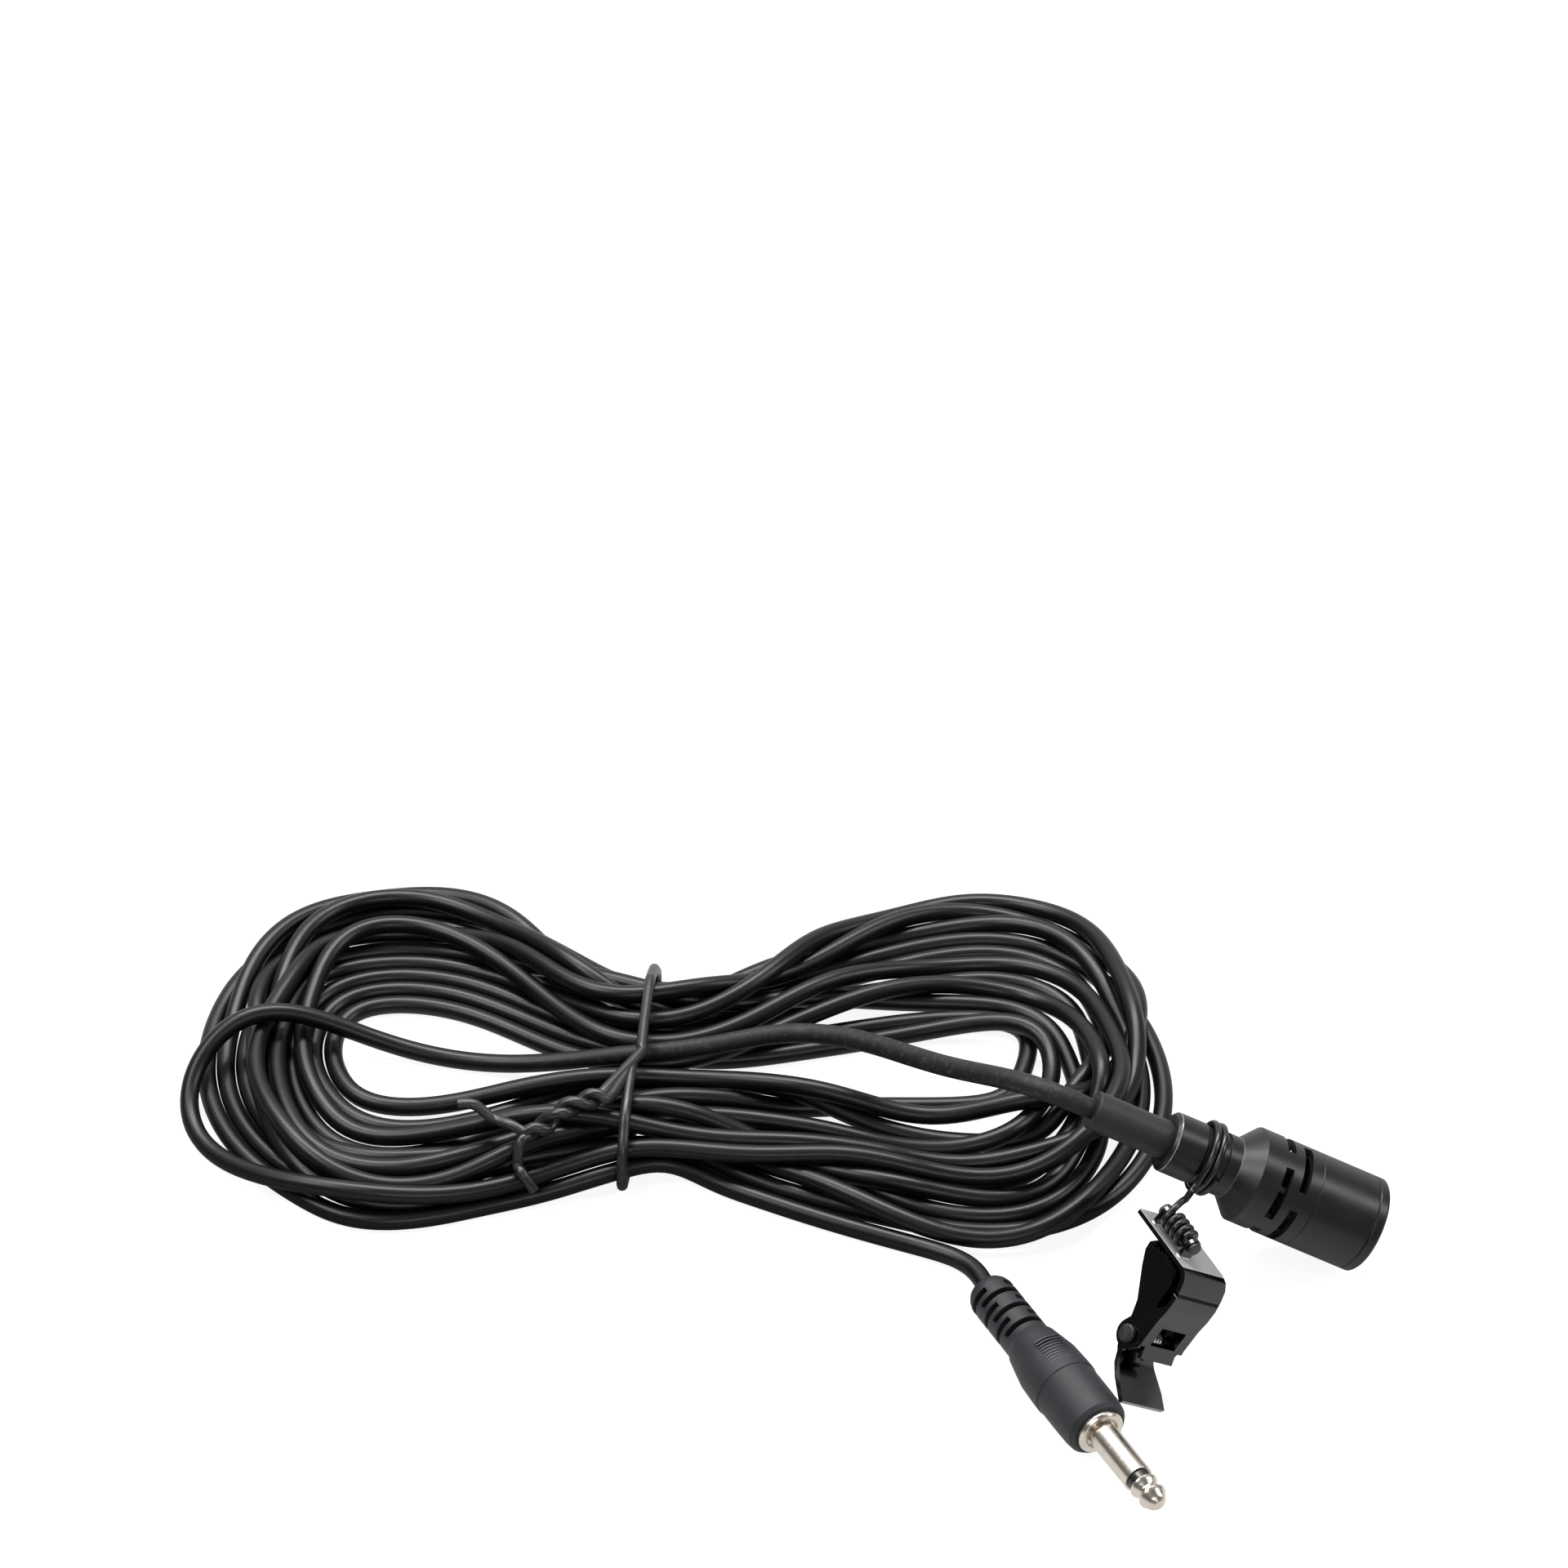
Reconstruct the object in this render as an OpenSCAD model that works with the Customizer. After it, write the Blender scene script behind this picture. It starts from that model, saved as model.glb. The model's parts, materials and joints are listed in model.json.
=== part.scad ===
// Lavalier microphone with its tie clip, its three metre lead wound into a tied hank
// and a moulded 3.5 mm mono plug.  Millimetres, +Z up, standing on Z = 0.
// The microphone lies nose down, with its rear held up by the clip that leans beside it.

/* [Microphone] */
// Outside diameter of the head and of the slotted shoulder
head_d = 11.9; // [10.6:0.1:15]
// Outside diameter of the neck between the wire ring and the cone
neck_d = 7.6; // [7:0.1:9]
// Depth of the groove that the wire ring turns in
groove_depth = 0.2; // [0.1:0.05:0.4]
// Length of the wire ring's groove
groove_l = 2.9; // [2.8:0.1:4]
// Length of the plain neck in front of the groove
neck_l = 1.6; // [1:0.1:6]
// Length of the cone between the neck and the shoulder
cone_l = 2.1; // [1:0.1:5]
// Length of the slotted shoulder
shoulder_l = 7.6; // [7.2:0.1:12]
// Length of the plain head barrel
barrel_l = 7.8; // [7:0.1:14]
// Length of the front bezel
bezel_l = 1.4; // [1.2:0.1:3]
// Wall of the shoulder and of the head barrel
head_wall = 0.55; // [0.4:0.05:0.8]
// Number of sound slots in each of the two rows
slot_count = 4; // [3:1:6]
// Width of a sound slot along the microphone
slot_w = 1.1; // [0.6:0.05:1.4]
// Share of the circle that the slots of one row open
slot_share = 0.74; // [0.4:0.01:0.85]
// Diameter of the electret capsule
capsule_d = 9.7; // [8:0.1:9.8]
// Height of the electret capsule
capsule_h = 5.9; // [4:0.1:6]
// Diameter of a hole in the front grille
grille_hole_d = 0.8; // [0.5:0.05:1]
// Distance between the holes of the front grille
grille_pitch = 1.25; // [1.2:0.05:2]

/* [Gland] */
// Outside diameter of the gland nut behind the groove
nut_d = 7.5; // [6.6:0.1:9]
// Length of the gland nut
nut_l = 4.2; // [3.4:0.1:7]
// Outside diameter of the shrunk sleeve that relieves the lead
relief_d = 4.7; // [3.6:0.1:4.9]
// Length of the shrunk sleeve that shows behind the nut
relief_l = 9.8; // [6:0.1:20]

/* [Tie clip] */
// Width of the clip's outer jaw
clip_w = 8; // [7.6:0.1:11]
// Thickness of the clip's sheet steel
sheet_t = 0.6; // [0.4:0.05:0.7]
// Diameter of the clip's hinge pin
pin_d = 1.2; // [0.8:0.05:1.3]
// Diameter of the spring's wire
spring_wire_d = 0.4; // [0.3:0.05:0.45]
// Number of coils of the spring
spring_coils = 4; // [3:1:4]
// Distance between two teeth of the inner jaw
tooth_pitch = 0.75; // [0.6:0.05:1.2]
// Diameter of the wire of the ring, stem and swivel coil
wire_d = 0.85; // [0.6:0.05:0.9]
// Number of turns of the swivel coil
swivel_turns = 4; // [3:1:5]
// Diameter of the swivel's pin
swivel_pin_d = 1.1; // [0.8:0.05:1.2]

/* [Plug] */
// Diameter of the plug's sleeve and tip
jack_d = 3.5; // [2.5:0.1:3.5]
// Length of the plug in front of the collar, the collar included
jack_l = 13.4; // [12:0.1:15]
// Greatest diameter of the moulded grip
grip_d = 8.1; // [7:0.1:11]
// Length of the moulded grip
grip_l = 16; // [12:0.1:24]
// Length of the slotted bend relief behind the grip
tail_l = 10; // [8:0.1:16]
// Diameter of the slotted bend relief
tail_d = 5.7; // [4.4:0.1:6.6]
// Diameter of the metal collar in the grip's front face
collar_d = 5.8; // [4.6:0.1:6.4]

/* [Lead] */
// Diameter of the lead
lead_d = 2.2; // [1.6:0.1:2.2]
// Number of turns in the hank
hank_turns = 11; // [7:2:11]
// Half of the hank's length, at the middle of its outer turn
hank_half_l = 60; // [50:1:80]
// Step from one turn to the next at the tied waist
waist_step = 2.66; // [2.62:0.02:3]
// Step from one turn to the next in the two lobes
lobe_step = 3.9; // [3:0.1:4.2]
// Height of one layer of turns over the last
layer_step = 2.66; // [2.62:0.02:3]
// Diameter of the tie's covered wire
tie_d = 1.4; // [1:0.1:1.4]

/* [Hidden] */
$fn = 64;

running_gap = 0.05;
seat_gap = 0.02;
big = 100;

// Where the microphone lies: the middle of its front face, its dip and its turn.
mic_at = [16, 10.2];
mic_dip = 26;
mic_turn = -6;

// Stations along the microphone, measured from the rear end of the shrunk sleeve.
head_r = head_d / 2;
z_nut = relief_l;
z_groove = z_nut + nut_l;
z_neck = z_groove + groove_l;
z_cone = z_neck + neck_l;
z_shoulder = z_cone + cone_l;
z_barrel = z_shoulder + shoulder_l;
z_bezel = z_barrel + barrel_l;
z_front = z_bezel + bezel_l;
nose_chamfer = 0.3;
spigot_l = 2.6;
z_spigot = z_groove - spigot_l;
spigot_r = nut_d / 2 - 0.85;
groove_r = neck_d / 2 - groove_depth;
cavity_r = head_r - head_wall - 0.4;
relief_r = relief_d / 2;
relief_end = z_spigot + 0.8;
ferrule_r = 1.85;
ferrule_l = 2.2;
z_ferrule = z_groove + 0.4;
z_cable = z_ferrule + ferrule_l + 0.8;

// The capsule and what holds it, from the front backwards.
lip_t = 0.6;
grille_t = 0.3;
cloth_t = 0.4;
felt_t = 0.5;
skirt_l = 1.0;
board_t = 0.6;
bore_r = head_r - head_wall;
capsule_r = capsule_d / 2;
z_grille = z_front - lip_t - grille_t;
z_cloth = z_grille - cloth_t;
z_felt = z_cloth - felt_t;
z_capsule = z_felt - capsule_h;
z_board = z_capsule - board_t;
holder_front = z_bezel - skirt_l;
board_r = capsule_r - 1;
joint_l = 1.1;
stop_t = 0.5;
wire_turn = 49;

// The wire ring, and the swivel coil on the clip's outer jaw.
wire_r = wire_d / 2;
ring_turns = 2;
ring_steps = 24;
ring_pitch = wire_d + 0.06;
ring_r = (groove_r + running_gap) / cos(180 / ring_steps) + wire_r + 0.02;
ring_start = 255;
coil_pitch = wire_d + 0.1;
coil_steps = 12;
coil_r = (swivel_pin_d / 2 + running_gap) / cos(180 / coil_steps) + wire_r + 0.02;

// The clip's own frame: X along its hinge pin, Y from the mouth's tip to the bend of the
// outer jaw, and Z from the outer jaw's flat plate inwards.
clip_at = [-9.9, 2.2, 15.6];
clip_turn = [183, 41, 29];
plate_l = 9.8;
hinge_y = 10.2;
hinge_z = 10.2;
ear_r = 1.8;
ear_t = 0.5;
knuckle_r = 1.3;
outer_half = clip_w / 2;
inner_half = outer_half - ear_t - 0.35;
swivel_x = -2.3;
swivel_y = 1.9;
swivel_z = -sheet_t / 2 - coil_r - wire_r - 0.2;
lug_t = 0.5;
coil_l = swivel_turns * coil_pitch + wire_d;
lug_y2 = swivel_y + lug_t + coil_l + 0.4;
outer_path = [
    [0, 0], [plate_l - 0.4, 0], [plate_l + 0.5, 0.22], [plate_l + 1.1, 0.85], [plate_l + 1.5, 1.8],
    [plate_l + 1.9, 3.2], [plate_l + 2.05, 4.8], [plate_l + 2.0, 6.4], [plate_l + 2.15, 8.2],
    [plate_l + 2.25, 9.4], [plate_l + 2.5, 10.4], [plate_l + 3, 11.4]
];
inner_path = [
    [4.3, 0.95], [3.75, 1.6], [3.9, 2.4], [5.0, 3.9], [6.4, 5.5], [7.7, 7.0], [8.5, 8.7], [9.0, 10.6],
    [9.7, 12.3], [11.2, 13.7], [13.3, 14.8], [15.6, 16]
];
tooth_from = 4.6;
tooth_to = 8.7;
tooth_z = 0.95;
tooth_h = 0.5;

// The plug rests on its grip and on its bend relief, so its tip points up a little.
plug_at = [-17.7, -21.1];
plug_turn = -62.5;
plug_rest = grip_l - 4.6;
plug_rest_r = grip_d / 2 - 0.12;
plug_rise = asin((plug_rest_r - tail_d / 2) / (grip_l + tail_l - 1.2 - plug_rest));
jack_r = jack_d / 2;
collar_l = 1;
insulator_l = 1;
tip_l = 3.7;
sleeve_l = jack_l - collar_l - insulator_l - tip_l;
rod_r = jack_r * 0.46;
core_r = jack_r * 0.66;
root_r = jack_r - 0.25;
tail_rings = 6;
tail_slot_w = 0.75;

// The hank: its middle, and the shape of its outer turn.
hank_at = [-65.8, 38.1];
hank_shift = 5.5;
hank_bow = 5;
hank_lift = tie_d + 0.15;
lead_r = lead_d / 2;
lead_z = lead_r + 0.02;
hank_steps = 24;
hank_sides = 6;
waist_half = (hank_turns + 0.5) / 2 * waist_step;
lobe_swell = 70;
lobe_round = 45.5;
swell_step = 2.29 * lobe_step;
round_step = 1.69 * lobe_step;

// ---------------------------------------------------------------- functions

function unit(v) = v / norm(v);
function tangent(p, i) = unit(p[min(i + 1, len(p) - 1)] - p[max(i - 1, 0)]);
// A direction square to the path, carried along it without twist.
function carried(p, i, last) = unit(last - (last * tangent(p, i)) * tangent(p, i));
function frames(p, start) = [
    for (i = 0, s = carried(p, 0, start); i < len(p); i = i + 1, s = i < len(p) ? carried(p, i, s) : s) s
];
// Points of a curve that passes smoothly through the points p, each span cut in n.
function spline(p, n) = concat(
    [for (i = [0 : len(p) - 2], j = [0 : n - 1])
        let (a = p[max(i - 1, 0)], b = p[i], c = p[i + 1], d = p[min(i + 2, len(p) - 1)], t = j / n)
        0.5 * (2 * b + (c - a) * t + (2 * a - 5 * b + 4 * c - d) * t * t + (3 * b - a - 3 * c + d) * t * t * t)],
    [p[len(p) - 1]]
);
function path_length(p) = let (n = len(p) - 1) [for (i = [0 : n - 1]) norm(p[i + 1] - p[i])] * [for (i = [1 : n]) 1];
function smooth(t) = let (c = max(0, min(1, t))) c * c * (3 - 2 * c);
function turned(v, a) =
    let (
        x = [v[0], v[1] * cos(a[0]) - v[2] * sin(a[0]), v[1] * sin(a[0]) + v[2] * cos(a[0])],
        y = [x[0] * cos(a[1]) + x[2] * sin(a[1]), x[1], x[2] * cos(a[1]) - x[0] * sin(a[1])]
    ) [y[0] * cos(a[2]) - y[1] * sin(a[2]), y[0] * sin(a[2]) + y[1] * cos(a[2]), y[2]];

// Frames of the three groups that lie at an angle.
mic_angles = [0, 90 + mic_dip, mic_turn];
mic_nose = [mic_at[0], mic_at[1], head_r * cos(mic_dip) - nose_chamfer * sin(mic_dip)];
function mic_point(v) = mic_nose + turned(v - [0, 0, z_front], mic_angles);
function clip_point(v) = clip_at + turned(v, clip_turn);
plug_angles = [0, 90 - plug_rise, plug_turn];
plug_face = [plug_at[0], plug_at[1], plug_rest_r * cos(plug_rise) + plug_rest * sin(plug_rise) + 0.02];
function plug_point(v) = plug_face + turned(v, plug_angles);

// Middle line of the hank after u turns: in along the first layer and out along the next.
hank_back = hank_turns / 2;
function hank_depth(u) = hank_back - abs(u - hank_back);
function hank_layer(u) = smooth((u - hank_back) * 2 + 0.5);
function hank_point(u) =
    let (
        a = 270 - 360 * u,
        q = hank_depth(u),
        c2 = cos(a) * cos(a),
        swell = lobe_swell - swell_step * q,
        round_off = lobe_round - round_step * q,
        waist = waist_half - waist_step * q
    ) [
        hank_at[0] - hank_shift * (1 - c2) + (hank_half_l - lobe_step * q) * cos(a),
        hank_at[1] + hank_bow * c2 + sin(a) * (waist + swell * c2 - round_off * c2 * c2),
        lead_z + layer_step * hank_layer(u) + hank_lift * (1 - smooth(abs(cos(a)) * 1.6))
    ];
hank_line = [for (k = [0 : hank_turns * hank_steps]) hank_point(k / hank_steps)];
hank_first = hank_line[0];
hank_last = hank_line[len(hank_line) - 1];

// The stretch from the hank's last turn, round one loose loop that lies on the others, to
// the shrunk sleeve, and the stretch from the hank's first turn to the plug.
mic_end_points = concat(
    [hank_last, hank_last + [-2.6, -0.1, 0]],
    [
        [-79.3, 21.6, 5.8], [-85.3, 19.3, 7.2], [-91.3, 17.2, 8.2], [-98.3, 16.1, 8.4], [-106.3, 16.3, 8], [-114.3, 18.5, 7.4],
        [-121.3, 22.7, 6.9], [-126.7, 28.5, 6.5], [-128.1, 34.9, 6.2], [-125.3, 40.7, 6.3], [-119.3, 43.9, 6.8],
        [-111.3, 44.5, 7.2], [-102.3, 43.3, 7.6], [-93.3, 41.5, 8.1], [-84.3, 39.9, 8.7], [-76.3, 39, 8.9],
        [-68.3, 38.7, 8.9], [-61.3, 38.9, 8.9], [-55.3, 38.5, 9], [-49.3, 36.9, 9.6], [-43.8, 34.1, 10.9],
        [-38.8, 30.3, 13], [-34.5, 26.1, 16], [-30.9, 21.9, 19.4], [-27.3, 18.1, 22.2], [-23.3, 15.3, 23.4]
    ],
    [mic_point([0, 0, -2.4]), mic_point([0, 0, 0])]
);
plug_end_points = concat(
    [hank_first, hank_first + [2.6, 0.1, 0]],
    [
        [-62.8, 20.9, 1.9], [-56.3, 17.9, 1.2], [-49.9, 15.1, 1.16], [-43.3, 12.5, 1.16], [-37.9, 10.5, 1.3],
        [-33.7, 8.5, 1.7], [-30.9, 6.1, 2.2]
    ],
    [plug_point([0, 0, -grip_l - tail_l - 1.4]), plug_point([0, 0, -grip_l - tail_l])]
);

// Least distance between two parts of the line p that are more than skip points apart.
function line_gap(p, skip) = min([for (i = [0 : len(p) - 1 - skip]) min([for (j = [i + skip : len(p) - 1]) norm(p[i] - p[j])])]);
function pair_gap(p, q) = min([for (a = p) min([for (b = q) norm(a - b)])]);
mic_end_line = spline(mic_end_points, 2);
plug_end_line = spline(plug_end_points, 2);
hank_fine = [for (k = [0 : hank_turns * 48]) hank_point(k / 48)];
echo(hank_gap = line_gap(hank_fine, 6) - lead_d);
echo(loose_loop_gap = pair_gap([for (i = [6 : len(mic_end_line) - 1]) mic_end_line[i]], hank_fine) - lead_d);
echo(lead_length = path_length(hank_line) + path_length(mic_end_line) + path_length(plug_end_line));

// ---------------------------------------------------------------- shared modules

// A closed tube of diameter d along the points p, with the number of sides given.
module tube(p, d, sides, start = [0, 0, 1]) {
    n = len(p);
    side = frames(p, start);
    rings = [for (i = [0 : n - 1], k = [0 : sides - 1])
        let (s = side[i], w = cross(tangent(p, i), s), a = 360 * k / sides)
        p[i] + d / 2 * (cos(a) * s + sin(a) * w)];
    walls = [for (i = [0 : n - 2], k = [0 : sides - 1])
        let (a = i * sides + k, b = i * sides + (k + 1) % sides)
        each [[a, b + sides, b], [a, a + sides, b + sides]]];
    ends = [for (k = [1 : sides - 2])
        each [[0, k, k + 1], [(n - 1) * sides, (n - 1) * sides + k + 1, (n - 1) * sides + k]]];
    polyhedron(rings, concat(walls, ends));
}

// A turned piece: p lists its [radius, height] outline.
module turned_piece(p) { rotate_extrude() polygon(p); }
module ring(r_out, r_in, z0, z1) {
    translate([0, 0, z0]) difference() {
        cylinder(r = r_out, h = z1 - z0);
        translate([0, 0, -1]) cylinder(r = r_in, h = z1 - z0 + 2);
    }
}
module disc(r, z0, z1) { translate([0, 0, z0]) cylinder(r = r, h = z1 - z0); }

module on_mic() { translate(mic_nose) rotate(mic_angles) translate([0, 0, -z_front]) children(); }
module on_clip() { translate(clip_at) rotate(clip_turn) children(); }
module on_plug() { translate(plug_face) rotate(plug_angles) children(); }
// Turns an outline drawn as [Y, Z] of the clip's frame into a plate from x0 to x1.
module plate(x0, x1) {
    translate([x0, 0, 0]) rotate([90, 0, 90]) linear_extrude(x1 - x0) children();
}
// Outline of a sheet of thickness t whose middle follows the points p.
module bent_strip(p, t) {
    n = len(p);
    function side(i) = let (v = tangent(p, i)) [-v[1], v[0]];
    polygon(concat(
        [for (i = [0 : n - 1]) p[i] + t / 2 * side(i)],
        [for (i = [n - 1 : -1 : 0]) p[i] - t / 2 * side(i)]
    ));
}

// ---------------------------------------------------------------- microphone

module sound_slots(z, turn) {
    open = 360 * slot_share / slot_count;
    for (k = [0 : slot_count - 1])
        rotate([0, 0, turn + 360 * k / slot_count])
            translate([0, 0, z - slot_w / 2])
                rotate_extrude(angle = open) translate([cavity_r - 0.3, 0]) square([head_r, slot_w]);
}

module mic_housing() {
    color("#1b1b1e") on_mic() difference() {
        turned_piece([
            [relief_r + seat_gap, z_spigot], [spigot_r, z_spigot], [spigot_r, z_groove], [groove_r, z_groove],
            [groove_r, z_neck], [neck_d / 2, z_neck], [neck_d / 2, z_cone], [head_r, z_shoulder],
            [head_r, z_barrel], [cavity_r + seat_gap, z_barrel], [cavity_r + seat_gap, z_barrel - joint_l],
            [cavity_r, z_barrel - joint_l], [cavity_r, z_shoulder + 0.9], [ferrule_r + seat_gap, z_cone + 0.4],
            [ferrule_r + seat_gap, relief_end], [relief_r + seat_gap, relief_end]
        ]);
        sound_slots(z_shoulder + 3.2, 20);
        sound_slots(z_shoulder + 5.55, 20 + 180 / slot_count);
    }
}

module gland_nut() {
    r = nut_d / 2;
    color("#1b1b1e") on_mic() turned_piece([
        [relief_r + seat_gap, z_nut], [r - 0.45, z_nut], [r, z_nut + 0.45], [r, z_groove - 0.15],
        [r - 0.15, z_groove], [spigot_r + seat_gap, z_groove], [spigot_r + seat_gap, z_spigot],
        [relief_r + seat_gap, z_spigot]
    ]);
}

module strain_relief() { color("#222224") on_mic() ring(relief_r, lead_r + seat_gap, 0, relief_end); }
module cable_end() { color("#1a1a1c") on_mic() disc(lead_r, 0, z_cable); }
module cable_ferrule() {
    color("#c9a24a") on_mic() ring(ferrule_r, lead_r + seat_gap, z_ferrule, z_ferrule + ferrule_l);
}

module lead_wires() {
    for (s = [-1, 1])
        color(s < 0 ? "#1c1c1e" : "#5a2a26") tube([
            for (p = [[0.5, z_cable], [0.55, z_cable + 1], [1, z_cable + 3], [1.5, z_cable + 5.5],
                    [1.7, z_board - 2], [1.7, z_board]])
                mic_point([s * p[0] * cos(wire_turn), s * p[0] * sin(wire_turn), p[1]])
        ], 0.7, 6);
}

module head_barrel() {
    color("#1b1b1e") on_mic() turned_piece([
        [cavity_r - 0.4, z_barrel - joint_l], [cavity_r, z_barrel - joint_l], [cavity_r, z_barrel],
        [head_r, z_barrel], [head_r, z_bezel], [bore_r, z_bezel], [bore_r, z_barrel + stop_t],
        [cavity_r - 0.4, z_barrel + stop_t]
    ]);
}

module front_bezel() {
    lip_r = capsule_r - 0.1;
    color("#1b1b1e") on_mic() turned_piece([
        [capsule_r + running_gap, holder_front], [bore_r - seat_gap, holder_front], [bore_r - seat_gap, z_bezel],
        [head_r - 0.12, z_bezel], [head_r, z_bezel + 0.12], [head_r, z_front - nose_chamfer], [head_r - nose_chamfer, z_front],
        [lip_r + 0.3, z_front], [lip_r, z_front - 0.3], [lip_r, z_front - lip_t],
        [capsule_r + running_gap, z_front - lip_t]
    ]);
}

module front_grille() {
    rows = ceil(capsule_r / grille_pitch);
    color("#2a2a2c") on_mic() difference() {
        disc(capsule_r + running_gap - seat_gap, z_grille, z_grille + grille_t);
        for (i = [-rows : rows], j = [-rows : rows]) {
            at = grille_pitch * [i + j / 2, j * sin(60)];
            if (norm(at) < capsule_r - 0.85)
                translate([at[0], at[1], z_grille - 1]) cylinder(d = grille_hole_d, h = grille_t + 2);
        }
    }
}

module wind_cloth() { color("#151515") on_mic() disc(capsule_r, z_cloth, z_grille); }
module capsule_felt() { color("#101010") on_mic() disc(capsule_r - 0.9, z_felt, z_cloth); }

module capsule_can() {
    color("#c8c8c4") on_mic() turned_piece([
        [0, z_capsule], [capsule_r - 0.25, z_capsule], [capsule_r, z_capsule + 0.25], [capsule_r, z_felt - 0.25],
        [capsule_r - 0.25, z_felt], [0, z_felt]
    ]);
}

module capsule_board() {
    color("#2e6b3c") on_mic() {
        disc(board_r, z_board + 0.15, z_capsule);
        for (s = [0, 180]) rotate([0, 0, wire_turn + s]) translate([1.7, 0, z_board]) cylinder(r = 0.75, h = 0.3);
    }
}

module capsule_holder() {
    color("#141414") on_mic() turned_piece([
        [board_r + 0.1, z_barrel + stop_t], [bore_r - seat_gap, z_barrel + stop_t],
        [bore_r - seat_gap, holder_front], [capsule_r + seat_gap, holder_front],
        [capsule_r + seat_gap, z_capsule], [board_r + 0.1, z_capsule]
    ]);
}

// ---------------------------------------------------------------- clip

ring_line = [for (k = [0 : ring_turns * ring_steps])
    let (a = ring_start + 360 * k / ring_steps, z = z_groove + groove_l / 2 - ring_pitch * (k / ring_steps - ring_turns / 2))
    mic_point([ring_r * cos(a), ring_r * sin(a), z])];
coil_line = [for (k = [0 : swivel_turns * coil_steps])
    let (a = 200 - 360 * k / coil_steps, y = swivel_y + lug_t + 0.2 + wire_r + coil_pitch * k / coil_steps)
    clip_point([swivel_x + coil_r * cos(a), y, swivel_z + coil_r * sin(a)])];
ring_end = ring_line[len(ring_line) - 1];
ring_leaves = unit(ring_end - ring_line[len(ring_line) - 2]);
coil_enters = unit(coil_line[1] - coil_line[0]);

module ring_wire() {
    stem = [for (k = [1 : 7])
        let (t = k / 8, a = ring_end, b = a + 7 * ring_leaves, d = coil_line[0], c = d - 5 * coil_enters)
        pow(1 - t, 3) * a + 3 * pow(1 - t, 2) * t * b + 3 * (1 - t) * t * t * c + pow(t, 3) * d];
    color("#161616") tube(concat(ring_line, stem, coil_line), wire_d, 8, turned([0, 0, 1], mic_angles));
}

module clip_outer_jaw() {
    color("#0c0c0d") on_clip() {
        difference() {
            plate(-outer_half, outer_half) bent_strip(outer_path, sheet_t);
            // Thumb tab narrower than the back
            for (s = [-1, 1]) translate([s * (outer_half + 1) - 2, plate_l, 9.9]) cube([4, 6, 4]);
            // Window over the spring
            translate([-outer_half + 1.7, plate_l, 7.1]) cube([clip_w - 3.4, 6, 2.5]);
        }
        // Ears that carry the hinge pin
        for (s = [-1, 1])
            plate(s > 0 ? outer_half - ear_t : -outer_half, s > 0 ? outer_half : -outer_half + ear_t)
                difference() {
                    union() {
                        translate([hinge_y, hinge_z]) circle(r = ear_r);
                        polygon([
                            [plate_l + 1.95, 4.2], [plate_l + 2.05, 6.4], [plate_l + 1.95, 8.4], [plate_l + 2.05, 9.4],
                            [hinge_y + 1, hinge_z + 1.4], [hinge_y - 1.7, hinge_z - 0.6], [hinge_y - 0.9, 7.4]
                        ]);
                    }
                    translate([hinge_y, hinge_z]) circle(d = pin_d + 2 * seat_gap);
                }
        // Two lugs that hold the swivel's pin
        for (y = [swivel_y, lug_y2])
            translate([swivel_x, y + lug_t, 0]) rotate([90, 0, 0]) linear_extrude(lug_t) difference() {
                union() {
                    translate([0, swivel_z]) circle(r = swivel_pin_d / 2 + 0.45);
                    translate([-swivel_pin_d / 2 - 0.45, swivel_z]) square([swivel_pin_d + 0.9, -swivel_z]);
                }
                translate([0, swivel_z]) circle(d = swivel_pin_d + 2 * seat_gap);
            }
    }
}

module clip_swivel_pin() {
    color("#2c2c2e") on_clip() translate([swivel_x, 0, swivel_z]) rotate([-90, 0, 0]) {
        translate([0, 0, swivel_y - 0.3]) cylinder(d = swivel_pin_d, h = lug_y2 - swivel_y + lug_t + 0.6);
        for (y = [swivel_y - 0.5, lug_y2 + lug_t])
            translate([0, 0, y]) cylinder(d = swivel_pin_d + 0.6, h = 0.5);
    }
}

module clip_hinge_pin() {
    color("#2c2c2e") on_clip() translate([0, hinge_y, hinge_z]) rotate([0, 90, 0]) {
        translate([0, 0, -outer_half - 0.2]) cylinder(d = pin_d, h = clip_w + 0.4);
        for (s = [-1, 1]) translate([0, 0, s > 0 ? outer_half : -outer_half - 0.6]) cylinder(d = pin_d + 1, h = 0.6);
    }
}

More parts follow.
